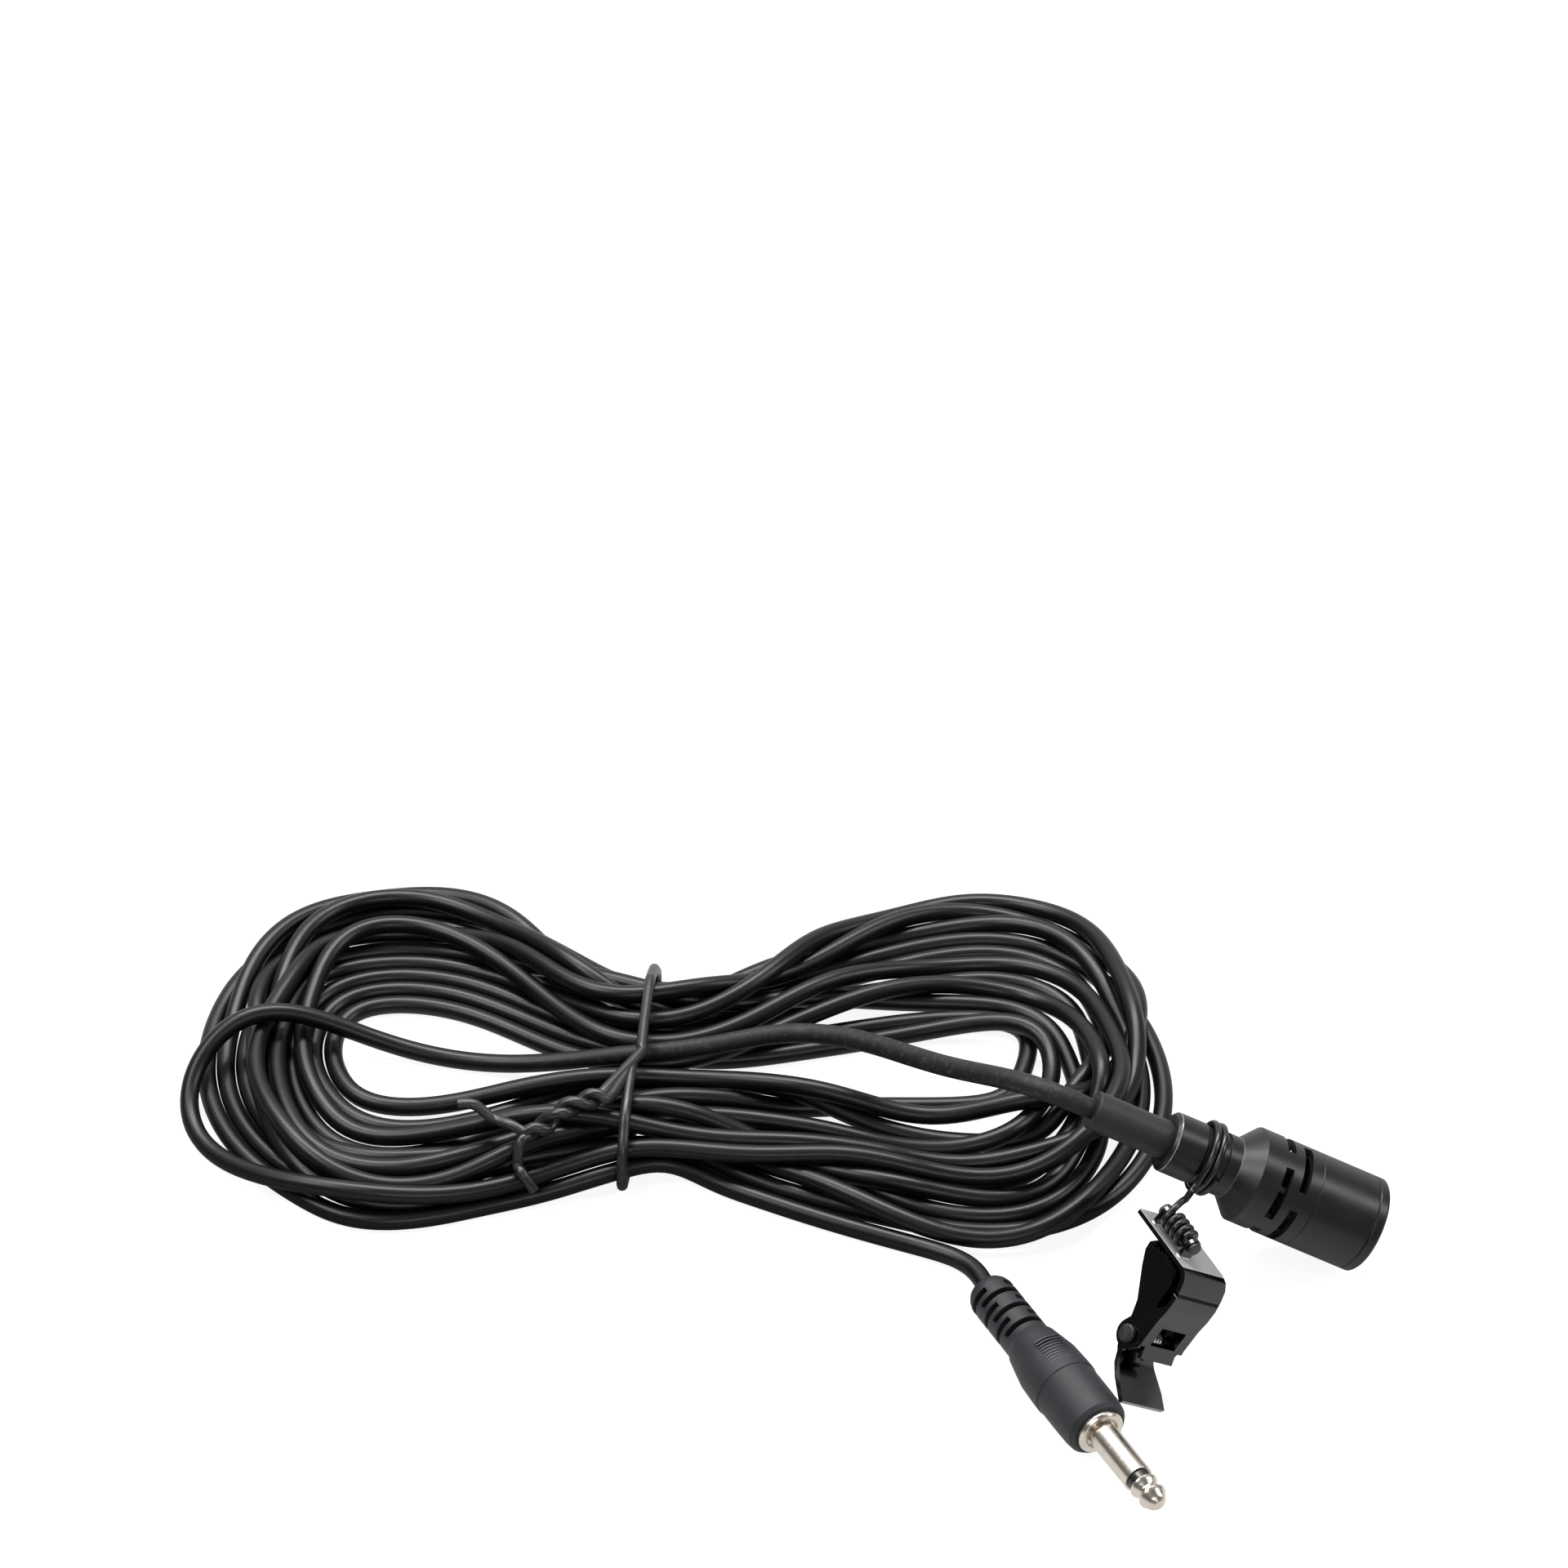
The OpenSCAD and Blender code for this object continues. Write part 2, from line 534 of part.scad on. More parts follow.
module clip_inner_jaw() {
    teeth = floor((tooth_to - tooth_from) / tooth_pitch);
    color("#101012") on_clip() difference() {
        union() {
            plate(-inner_half, inner_half) bent_strip(inner_path, sheet_t);
            for (s = [-1, 1])
                plate(s > 0 ? inner_half - ear_t : -inner_half, s > 0 ? inner_half : -inner_half + ear_t)
                    union() {
                        // Toothed wall of the mouth
                        polygon(concat(
                            [[3.9, 1.9], [4.3, tooth_z + tooth_h]],
                            [for (k = [0 : teeth - 1], m = [0, 1])
                                [tooth_from + tooth_pitch * (k + m / 2), tooth_z + (m == 0 ? tooth_h : 0)]],
                            [[tooth_to, tooth_z + tooth_h], [9.6, 2.6], [9.9, 5], [hinge_y + 0.6, hinge_z - 0.6],
                                [hinge_y, hinge_z], [hinge_y + 0.5, hinge_z + 0.8], [10.4, 12.7], [9.5, 12],
                                [8.9, 10.6], [8.4, 8.7], [7.6, 7.1], [6.3, 5.6], [4.9, 4]]
                        ));
                        translate([hinge_y, hinge_z]) circle(r = knuckle_r);
                    }
            // Lever that flares past the hinge
            intersection() {
                plate(-outer_half, outer_half) bent_strip([for (i = [8 : 11]) inner_path[i]], sheet_t);
                translate([0, 0, hinge_z]) rotate([90, 0, 0]) linear_extrude(big, center = true)
                    polygon([[-inner_half, 0], [-inner_half, 2.8], [-outer_half, 4.6], [-outer_half, 6.1],
                        [-outer_half + 2.1, 8], [outer_half - 2.1, 8], [outer_half, 6.1], [outer_half, 4.6],
                        [inner_half, 2.8], [inner_half, 0]]);
            }
        }
        plate(-clip_w, clip_w) translate([hinge_y, hinge_z]) circle(d = pin_d + 2 * running_gap);
        // Window for the spring's coils
        plate(-1.7, 1.7) translate([7.5, hinge_z - 1.5]) square([2.5, 3]);
    }
}

module clip_spring() {
    r = pin_d / 2 + 0.14 + spring_wire_d / 2;
    pitch = spring_wire_d + 0.1;
    steps = spring_coils * 8 + 4;
    half = pitch * steps / 16;
    coil = [for (k = [0 : steps])
        let (a = -45 * k) [-half + pitch * k / 8, hinge_y + r * cos(a), hinge_z + r * sin(a)]];
    leg_a = [[-half - 0.1, hinge_y + 1.5, hinge_z + 1.7], [-half - 0.05, hinge_y + 1.15, hinge_z + 0.8]];
    leg_b = [[half + 0.1, hinge_y - 0.5, hinge_z + 0.9], [half + 0.15, hinge_y + 0.05, hinge_z + 1.8],
        [half + 0.2, hinge_y + 0.85, hinge_z + 2.5]];
    color("#8a8a8c") tube([for (v = concat(leg_a, coil, leg_b)) clip_point(v)], spring_wire_d, 6);
}

// ---------------------------------------------------------------- lead

module cord_mic_end() { color("#1d1d20") tube(mic_end_line, lead_d, 8); }
module cord_hank() { color("#1d1d20") tube(hank_line, lead_d, hank_sides); }
module cord_plug_end() { color("#1d1d20") tube(plug_end_line, lead_d, 8); }

module twist_tie() {
    half_y = waist_half - waist_step / 4 + lead_r + tie_d / 2 + 0.25;
    low = tie_d / 2 + 0.02;
    high = hank_lift + lead_z + layer_step + lead_r + tie_d / 2 + 0.2;
    mid_z = (low + high) / 2;
    half_z = (high - low) / 2;
    knot = [-76.8, 30.4, high + 0.9];
    along = unit([-10, -7, -0.6]);
    across = unit(cross(along, [0, 0, 1]));
    up = cross(across, along);
    band = [for (k = [0 : 22])
        let (a = 250 - 340 * k / 22 + 180, s = sin(a), c = cos(a), f = 1 / pow(pow(abs(s), 8) + pow(abs(c), 8), 1 / 8))
        [hank_at[0] - hank_shift - 1.5 + 2.5 * c * f, hank_at[1] - 0.6 + half_y * c * f, mid_z + half_z * s * f]];
    twist = [for (k = [0 : 12]) let (a = 60 * k) knot + along * (1.1 * k) + 0.8 * (cos(a) * across + sin(a) * up)];
    back = [for (k = [12 : -1 : 0]) let (a = 60 * k + 180) knot + along * (1.1 * k) + 0.8 * (cos(a) * across + sin(a) * up)];
    color("#141416") tube(concat(
        [knot + [-20, -4.5, -0.6], knot + [-17, -6.6, -0.3]], [for (i = [12 : -1 : 0]) twist[i]],
        band, [for (i = [12 : -1 : 0]) back[i]], [knot + [-13.5, -11, -2.2], knot + [-13.2, -14, -4.6]]
    ), tie_d, 6);
}

// ---------------------------------------------------------------- plug

module plug_grip() {
    r = grip_d / 2;
    rear = -grip_l - tail_l;
    tail_r = tail_d / 2;
    step = (tail_l - 1.6) / tail_rings;
    color("#2b2d33") on_plug() difference() {
        turned_piece([
            [0, rear], [tail_r - 0.5, rear], [tail_r - 0.2, rear + 0.5], [tail_r, rear + 1.2], [tail_r, -grip_l],
            [tail_r + 0.35, -grip_l + 0.8], [r - 0.45, -grip_l + 2.8], [plug_rest_r, -plug_rest],
            [r, -grip_l + 7.4], [r, -grip_l + 8.6], [r - 0.12, -grip_l + 8.7], [r - 0.13, -3.5],
            [r - 0.18, -1.5], [r - 0.32, -0.5], [r - 0.7, 0], [collar_d / 2 + seat_gap, 0],
            [collar_d / 2 + seat_gap, -2], [0, -2]
        ]);
        for (i = [0 : tail_rings - 1], s = [0, 1])
            translate([0, 0, rear + 1.5 + step * i]) rotate([0, 0, 90 * (i % 2) + 180 * s + 26])
                rotate_extrude(angle = 128) translate([tail_r - 1.3, 0]) square([2, tail_slot_w]);
    }
}

module plug_collar() {
    r = collar_d / 2;
    color("#cfc6b8") on_plug() turned_piece([
        [core_r + seat_gap, -2], [r, -2], [r, collar_l - 0.55], [r - 0.3, collar_l - 0.25], [jack_r + 0.35, collar_l - 0.25],
        [jack_r + 0.15, collar_l - 0.6], [root_r + seat_gap, collar_l - 0.6], [root_r + seat_gap, 0.1],
        [core_r + seat_gap, 0.1]
    ]);
}

module plug_sleeve() {
    z = collar_l + sleeve_l;
    color("#cfc6b8") on_plug() turned_piece([
        [core_r + seat_gap, 0.1], [root_r, 0.1], [root_r, collar_l], [jack_r, collar_l], [jack_r, z],
        [core_r + seat_gap, z]
    ]);
}

module plug_insulator() {
    z = collar_l + sleeve_l;
    color("#141414") on_plug() turned_piece([
        [rod_r + seat_gap, -2], [core_r, -2], [core_r, z], [root_r, z],
        [root_r, z + insulator_l], [rod_r + seat_gap, z + insulator_l]
    ]);
}

module plug_tip() {
    z = collar_l + sleeve_l + insulator_l;
    color("#cfc6b8") on_plug() turned_piece([
        [0, -2], [rod_r, -2], [rod_r, z], [jack_r - 0.15, z], [jack_r - 0.02, z + 0.13], [jack_r - 0.1, z + 0.45], [jack_r - 0.55, z + 1.1],
        [jack_r - 0.58, z + 1.35], [jack_r - 0.05, z + 1.95], [jack_r - 0.1, z + 2.2], [jack_r - 0.65, z + 3.2],
        [jack_r - 1.1, z + 3.6], [0, z + tip_l]
    ]);
}

// ---------------------------------------------------------------- the nodes

mic_housing();
gland_nut();
strain_relief();
cable_end();
cable_ferrule();
lead_wires();
head_barrel();
front_bezel();
front_grille();
wind_cloth();
capsule_can();
capsule_felt();
capsule_board();
capsule_holder();
ring_wire();
clip_outer_jaw();
clip_swivel_pin();
clip_hinge_pin();
clip_inner_jaw();
clip_spring();
cord_mic_end();
cord_hank();
cord_plug_end();
twist_tie();
plug_grip();
plug_collar();
plug_sleeve();
plug_insulator();
plug_tip();
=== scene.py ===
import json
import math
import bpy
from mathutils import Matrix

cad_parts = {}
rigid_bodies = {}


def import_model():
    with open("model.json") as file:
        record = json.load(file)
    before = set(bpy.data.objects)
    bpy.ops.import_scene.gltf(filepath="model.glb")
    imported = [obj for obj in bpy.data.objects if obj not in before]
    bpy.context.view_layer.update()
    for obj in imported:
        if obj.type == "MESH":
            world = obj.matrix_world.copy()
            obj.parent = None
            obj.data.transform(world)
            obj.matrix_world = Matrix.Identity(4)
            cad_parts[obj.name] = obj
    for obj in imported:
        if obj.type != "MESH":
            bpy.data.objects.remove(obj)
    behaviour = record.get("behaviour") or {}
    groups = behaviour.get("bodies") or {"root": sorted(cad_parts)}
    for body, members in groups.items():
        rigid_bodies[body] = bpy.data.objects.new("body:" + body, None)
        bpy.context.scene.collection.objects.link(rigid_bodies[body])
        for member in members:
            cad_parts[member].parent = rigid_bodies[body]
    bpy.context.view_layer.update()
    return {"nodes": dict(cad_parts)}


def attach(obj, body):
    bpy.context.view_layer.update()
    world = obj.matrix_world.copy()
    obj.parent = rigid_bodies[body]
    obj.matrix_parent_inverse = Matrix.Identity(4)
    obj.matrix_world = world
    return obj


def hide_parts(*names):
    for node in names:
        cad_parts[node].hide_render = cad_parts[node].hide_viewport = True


bl_info = {
    "name": "Lavalier Microphone",
    "version": (1, 0, 0),
    "blender": (4, 5, 0),
    "location": "3D View > Sidebar > Microphone",
    "description": "Builds a tie-clip microphone with its tied lead and plug around a packed model",
    "category": "Object",
}

import bmesh
import bpy
import numpy as np
from bpy.props import FloatProperty, FloatVectorProperty, IntProperty, PointerProperty
from mathutils import Vector

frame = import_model()
MM = 0.001

# Where the microphone, the clip and the plug lie, in millimetres and degrees.
MIC_NOSE_XY = (16.0, 10.2)
MIC_DIP = 26.0
MIC_TURN = -6.0
HEAD_R = 5.95
NOSE_CHAMFER = 0.3
# Stations along the microphone from the rear end of the shrunk sleeve.
Z_NUT, Z_GROOVE, Z_CONE, Z_FRONT = 9.8, 14.0, 18.5, 37.4
CLIP_AT = (-9.9, 2.2, 15.6)
CLIP_TURN = (183.0, 41.0, 29.0)
PLUG_XY = (-17.7, -21.1)
PLUG_TURN = -62.5
GRIP_R = 4.05
GRIP_L = 16.0
TAIL_L = 10.0
TAIL_R = 2.85
RIDGES_TURN = 176.0
# The plug lies on its grip, this far from the grip's rear end, and on the end of its tail.
GRIP_REST, TAIL_REST = 4.6, 1.2
PLUG_REST = GRIP_L - GRIP_REST
PLUG_REST_R = GRIP_R - 0.12
# The hank's waist, and the stretch of it that lies on the tie: its middle, half its length and its slopes.
WAIST_X = -72.0
TIE_X, TIE_REACH, TIE_SLOPE = -72.4, 10.5, 7.5
# Least gaps between strands, between the tie and the lead, and between a loose piece and the floor.
STRAND_GAP, TIE_GAP, FLOOR_GAP = 0.04, 0.04, 0.02


# ---------------------------------------------------------------- places


def turned(v, angles):
    """The vector v turned about X, then Y, then Z, by angles in degrees."""
    x, y, z = v
    a, b, c = (math.radians(t) for t in angles)
    y, z = y * math.cos(a) - z * math.sin(a), y * math.sin(a) + z * math.cos(a)
    x, z = x * math.cos(b) + z * math.sin(b), z * math.cos(b) - x * math.sin(b)
    x, y = x * math.cos(c) - y * math.sin(c), x * math.sin(c) + y * math.cos(c)
    return np.array([x, y, z])


DIP = math.radians(MIC_DIP)
MIC_ANGLES = (0, 90 + MIC_DIP, MIC_TURN)
MIC_NOSE = np.array([*MIC_NOSE_XY, HEAD_R * math.cos(DIP) - NOSE_CHAMFER * math.sin(DIP)])
RISE = math.asin((PLUG_REST_R - TAIL_R) / (TAIL_L + GRIP_REST - TAIL_REST))
PLUG_ANGLES = (0, 90 - math.degrees(RISE), PLUG_TURN)
PLUG_FACE = np.array([*PLUG_XY, PLUG_REST_R * math.cos(RISE) + PLUG_REST * math.sin(RISE) + FLOOR_GAP])


def mic_point(x, y, z):
    return MIC_NOSE + turned((x, y, z - Z_FRONT), MIC_ANGLES)


def clip_point(x, y, z):
    return np.array(CLIP_AT) + turned((x, y, z), CLIP_TURN)


def plug_point(x, y, z):
    return PLUG_FACE + turned((x, y, z), PLUG_ANGLES)


# ---------------------------------------------------------------- settings


def length(name, description, mm, low=0.0, high=1000.0):
    return FloatProperty(
        name=name, description=description, default=mm * MM, min=low * MM, max=high * MM, unit="LENGTH",
        precision=5,
    )


def colour(name, description, rgb):
    return FloatVectorProperty(
        name=name, description=description, default=rgb, min=0.0, max=1.0, size=3, subtype="COLOR"
    )


def share(name, description, value):
    return FloatProperty(
        name=name, description=description, default=value, min=0.0, max=1.0, subtype="FACTOR"
    )


class MicrophoneSettings(bpy.types.PropertyGroup):
    body_colour: colour("Body", "Colour of the anodised head, neck and gland nut", (0.0040, 0.0037, 0.0040))
    body_roughness: share("Body roughness", "Roughness of the anodised metal", 0.36)
    edge_round: length("Edge round", "Radius of the turned edges", 0.11, 0.02, 0.3)
    sleeve_colour: colour("Sleeve", "Colour of the shrunk sleeve", (0.0062, 0.0062, 0.0078))


class ClipSettings(bpy.types.PropertyGroup):
    plating_colour: colour("Plating", "Colour of the clip's black plating", (0.034, 0.032, 0.034))
    plating_roughness: share("Plating roughness", "Roughness of the clip's black plating", 0.12)
    wire_d: length("Ring wire", "Diameter of the wire of the ring and swivel coil", 0.85, 0.5, 1.0)
    edge_round: length("Edge round", "Radius of the sheet's edges", 0.10, 0.02, 0.2)


class LeadSettings(bpy.types.PropertyGroup):
    diameter: length("Diameter", "Diameter of the lead", 2.35, 1.5, 3.0)
    jacket_colour: colour("Jacket", "Colour of the lead's jacket", (0.0014, 0.0014, 0.0020))
    settle_steps: IntProperty(
        name="Settle steps", description="Steps in which the hank settles", default=560, min=10
    )
    tie_d: length("Tie", "Diameter of the tie's covered wire", 1.35, 0.8, 1.6)


class PlugSettings(bpy.types.PropertyGroup):
    grip_colour: colour("Grip", "Colour of the moulded grip", (0.0106, 0.0110, 0.0139))
    plating_colour: colour("Plating", "Colour of the nickel plating", (0.66, 0.60, 0.52))
    ridge_count: IntProperty(
        name="Ridges", description="Ridges in the grip's patch", default=9, min=3, max=16
    )
    edge_round: length("Edge round", "Radius of the moulded edges", 0.14, 0.02, 0.3)


class StageSettings(bpy.types.PropertyGroup):
    floor_colour: colour("Floor", "Colour of the floor and the backdrop", (0.93, 0.93, 0.93))
    lens: FloatProperty(
        name="Lens", description="Focal length of the camera in millimetres", default=100.0, min=20.0
    )
    distance: length("Distance", "Distance from the camera to the point it looks at", 590.0, 100.0, 3000.0)
    height_angle: FloatProperty(
        name="Height angle", description="Angle of the camera above the horizon", default=math.radians(42),
        subtype="ANGLE",
    )


# ---------------------------------------------------------------- shader maths


class Value:
    """A number's socket, with operators that add Math nodes."""

    def __init__(self, paint, socket):
        self.paint, self.socket = paint, socket

    def _math(self, operation, *values):
        return self.paint.node("ShaderNodeMath", {"operation": operation}, dict(enumerate(values)))

    def __add__(self, other):
        return self._math("ADD", self, other)

    def __radd__(self, other):
        return self._math("ADD", other, self)

    def __sub__(self, other):
        return self._math("SUBTRACT", self, other)

    def __rsub__(self, other):
        return self._math("SUBTRACT", other, self)

    def __mul__(self, other):
        return self._math("MULTIPLY", self, other)

    def __rmul__(self, other):
        return self._math("MULTIPLY", other, self)

    def largest(self, other):
        return self._math("MAXIMUM", self, other)

    def sine(self):
        return self._math("SINE", self)

    def over(self, low, high):
        """0 below low, 1 above high, with a smooth step between."""
        return self.paint.node(
            "ShaderNodeMapRange", {"interpolation_type": "SMOOTHSTEP"},
            {"Value": self, "From Min": low, "From Max": high, "To Min": 0.0, "To Max": 1.0},
        )

    def between(self, low, high, soft):
        """1 from low to high, and 0 outside, with soft edges."""
        return self.over(low - soft, low) * (1 - self.over(high, high + soft))


class Paint:
    """Builds one material's nodes."""

    def __init__(self, name):
        self.material = bpy.data.materials.new(name)
        self.material.use_nodes = True
        self.tree = self.material.node_tree
        self.shader = self.tree.nodes["Principled BSDF"]

    def node(self, kind, settings=None, inputs=None, output=0):
        made = self.tree.nodes.new(kind)
        for key, value in (settings or {}).items():
            setattr(made, key, value)
        for key, value in (inputs or {}).items():
            self.feed(made.inputs[key], value)
        return Value(self, made.outputs[output])

    def feed(self, socket, value):
        if isinstance(value, Value):
            self.tree.links.new(value.socket, socket)
        elif socket.type == "RGBA" and len(value) == 3:
            socket.default_value = (*value, 1.0)
        else:
            socket.default_value = value

    def place(self):
        """The piece's Object coordinates, in metres in the model's frame."""
        return self.node("ShaderNodeTexCoord", output="Object")

    def parts(self, vector):
        outputs = self.node("ShaderNodeSeparateXYZ", {}, {0: vector}).socket.node.outputs
        return tuple(Value(self, output) for output in outputs)

    def along(self, origin, direction):
        """Distance in millimetres from origin along direction."""
        kind = "ShaderNodeVectorMath"
        offset = self.node(kind, {"operation": "SUBTRACT"}, {0: self.place(), 1: tuple(origin * MM)})
        dot = self.node(kind, {"operation": "DOT_PRODUCT"}, {0: offset, 1: tuple(direction)}, "Value")
        return dot * 1000.0

    def noise(self, scale, detail=3.0, roughness=0.5, vector=None):
        inputs = {"Vector": vector or self.place(), "Scale": scale, "Detail": detail, "Roughness": roughness}
        return self.node("ShaderNodeTexNoise", {}, inputs, "Fac")

    def mix(self, mask, a, b):
        """Colour a where mask is 0 and b where it is 1."""
        made = self.node("ShaderNodeMix", {"data_type": "RGBA"}, {0: mask}, 2)
        node = made.socket.node
        self.feed(node.inputs[6], a)
        self.feed(node.inputs[7], b)
        return made

    def bump(self, height, strength, distance, normal=None):
        inputs = {"Height": height, "Strength": strength, "Distance": distance}
        if normal is not None:
            inputs["Normal"] = normal
        return self.node("ShaderNodeBump", {}, inputs, "Normal")

    def finish(self, **sockets):
        names = {
            "colour": "Base Color", "roughness": "Roughness", "metallic": "Metallic", "normal": "Normal",
            "coat": "Coat Weight", "coat_roughness": "Coat Roughness", "specular": "Specular IOR Level",
            "sheen": "Sheen Weight",
        }
        for key, value in sockets.items():
            self.feed(self.shader.inputs[names[key]], value)
        return self.material


MATERIALS = {}


def material(name, build):
    """The material of that name, built once."""
    if name not in MATERIALS:
        MATERIALS[name] = build(Paint(name))
    return MATERIALS[name]


MIC_AXIS = turned((0, 0, 1), MIC_ANGLES)
MIC_REAR = mic_point(0, 0, 0)
PLUG_AXIS = turned((0, 0, 1), PLUG_ANGLES)


def scaled(rgb, k):
    return tuple(min(1.0, c * k) for c in rgb)


def anodised(paint):
    """Satin black anodised turned metal, with a painted highlight at the gland's rim and a faint one at the
    cone.
    """
    settings = bpy.context.scene.mic_settings
    station = paint.along(MIC_REAR, MIC_AXIS)
    cloud = paint.noise(260.0, 4.0, 0.6)
    specks = paint.noise(2600.0, 2.0, 0.5)
    rings = (station * 38.0 + cloud * 3.0).sine()
    patchy_highlight = paint.noise(900.0, 3.0, 0.65).over(0.40, 0.62)
    # Painted highlight: thin, bright, more metallic rings at the gland's rim and, faintly, at the cone,
    # broken up by noise.
    mask = 0.0
    for low, high, amount in ((Z_NUT + 0.42, Z_NUT + 0.48, 0.9), (Z_CONE - 0.04, Z_CONE + 0.04, 0.2)):
        mask = mask + station.between(low, high, 0.04) * (patchy_highlight * 0.5 + 0.5) * amount
    base = settings.body_colour
    shade = paint.mix(cloud.over(0.35, 0.75), scaled(base, 0.85), scaled(base, 1.5))
    shade = paint.mix(mask, shade, (0.42, 0.41, 0.40))
    rough = settings.body_roughness - 0.05 + cloud * 0.10 + specks * 0.05 - mask * 0.1
    normal = paint.bump(rings, 0.05, 0.00002, paint.bump(specks, 0.10, 0.00003))
    return paint.finish(colour=shade, roughness=rough, metallic=mask * 0.8, normal=normal, specular=0.37)


def shrunk_sleeve(paint):
    """Shrunk polyolefin: dull, a little wavy over the lead, with dust in its grain."""
    base = bpy.context.scene.mic_settings.sleeve_colour
    cloud = paint.noise(420.0, 5.0, 0.65)
    grain = paint.noise(2400.0, 3.0, 0.6)
    dust = paint.noise(1500.0, 4.0, 0.7).over(0.60, 0.72) * paint.noise(200.0, 2.0).over(0.42, 0.6)
    shade = paint.mix(cloud.over(0.3, 0.7), scaled(base, 0.8), scaled(base, 1.5))
    shade = paint.mix(dust * 0.25, shade, (0.10, 0.10, 0.11))
    normal = paint.bump(grain, 0.25, 0.00005, paint.bump(cloud, 0.3, 0.0002))
    return paint.finish(colour=shade, roughness=0.50 + cloud * 0.14, normal=normal, specular=0.45)


def lead_jacket(paint):
    """Extruded PVC: soft gloss, faint lengthwise drag lines, and dust on the stretch at the microphone."""
    base = bpy.context.scene.lead_settings.jacket_colour
    uv = paint.node("ShaderNodeUVMap", {"uv_map": "jacket"})
    stretched = paint.node("ShaderNodeMapping", {}, {"Vector": uv, "Scale": (18.0, 6.0, 1.0)})
    drag = paint.noise(6.0, 3.0, 0.6, stretched)
    cloud = paint.noise(130.0, 4.0, 0.6)
    grain = paint.noise(2100.0, 3.0, 0.6)
    run, _, _ = paint.parts(uv)
    dusty = 1 - (run * 1000.0).over(58.0, 92.0)
    fleck = paint.noise(1250.0, 5.0, 0.75).over(0.50, 0.68) * dusty
    shade = paint.mix(cloud.over(0.35, 0.7), scaled(base, 0.8), scaled(base, 1.6))
    shade = paint.mix(dusty * 0.5, shade, (0.008, 0.008, 0.010))
    shade = paint.mix(fleck * 0.30, shade, (0.085, 0.085, 0.095))
    rough = 0.30 + cloud * 0.10 + drag * 0.06 + dusty * 0.2
    normal = paint.bump(drag, 0.07, 0.00006, paint.bump(grain, 0.05 + dusty * 0.35, 0.00004))
    return paint.finish(colour=shade, roughness=rough, normal=normal, specular=0.31)


def plated_steel(paint):
    """Black plating over pressed steel: a dark mirror, with a painted reflection on the duller plate and
    painted shade in the groove in its back.
    """
    clip = bpy.context.scene.clip_settings
    cloud = paint.noise(300.0, 4.0, 0.6)
    peel = paint.noise(1100.0, 2.0, 0.5)
    chips = paint.noise(760.0, 6.0, 0.8).over(0.70, 0.74)
    base = clip.plating_colour
    shade = paint.mix(cloud.over(0.3, 0.8), base, scaled(base, 1.25))
    shade = paint.mix(chips * 0.4, shade, (0.20, 0.19, 0.18))
    depth = paint.along(np.array(CLIP_AT), turned((0, 0, 1), CLIP_TURN))
    outward = paint.along(np.array(CLIP_AT), turned((0, 1, 0), CLIP_TURN))
    # The groove in the back wall is a bump, painted near black and without coat inside: painted shade in the
    # groove.
    groove_and_shade = depth.between(2.25, 2.6, 0.1) * outward.over(11.0, 11.1)
    # Painted reflection: the plate's outer face is painted light grey, less metallic and rougher, for the
    # bright floor it would mirror.
    top = depth.between(-0.36, -0.22, 0.03)
    shade = paint.mix(top, shade, (0.80, 0.79, 0.79))
    shade = paint.mix(groove_and_shade * 0.97, shade, (0.0008, 0.0008, 0.0008))
    normal = paint.bump(1 - groove_and_shade, 0.6, 0.00012, paint.bump(peel, 0.01, 0.00001))
    return paint.finish(
        colour=shade, roughness=clip.plating_roughness + cloud * 0.08 + top * 0.22, metallic=1 - top * 0.2,
        normal=normal, coat=0.3 - groove_and_shade * 0.3, coat_roughness=0.06,
    )


def blackened_wire(paint):
    cloud = paint.noise(240.0, 3.0, 0.5)
    shade = paint.mix(cloud.over(0.4, 0.7), (0.0030, 0.0030, 0.0034), (0.007, 0.0066, 0.0066))
    normal = paint.bump(cloud, 0.03, 0.00003)
    return paint.finish(colour=shade, roughness=0.27 + cloud * 0.08, normal=normal, specular=0.45)


def blackened_pin(paint):
    cloud = paint.noise(800.0, 4.0, 0.6)
    shade = paint.mix(cloud.over(0.45, 0.65), (0.010, 0.010, 0.011), (0.028, 0.027, 0.026))
    normal = paint.bump(cloud, 0.1, 0.00003)
    return paint.finish(colour=shade, roughness=0.40 + cloud * 0.15, metallic=0.25, normal=normal)


def spring_steel(paint):
    cloud = paint.noise(900.0, 4.0, 0.6)
    shade = paint.mix(cloud, (0.40, 0.39, 0.38), (0.62, 0.61, 0.60))
    normal = paint.bump(cloud, 0.12, 0.00003)
    return paint.finish(colour=shade, roughness=0.22 + cloud * 0.2, metallic=1.0, normal=normal)


def moulded_grip(paint):
    """Soft blue-grey PVC with a fine spark-eroded grain and a faint parting line."""
    base = bpy.context.scene.plug_settings.grip_colour
    cloud = paint.noise(220.0, 4.0, 0.6)
    grain = paint.noise(1900.0, 4.0, 0.7)
    side = turned((0.94, 0.34, 0), PLUG_ANGLES)
    flash = paint.along(PLUG_FACE, side).between(-0.03, 0.03, 0.05)
    shade = paint.mix(cloud.over(0.3, 0.75), scaled(base, 0.82), scaled(base, 1.22))
    normal = paint.bump(grain, 0.22, 0.00006, paint.bump(flash, 0.5, 0.00003))
    rough = 0.50 + cloud * 0.10 + grain * 0.06
    return paint.finish(colour=shade, roughness=rough, normal=normal, specular=0.38)


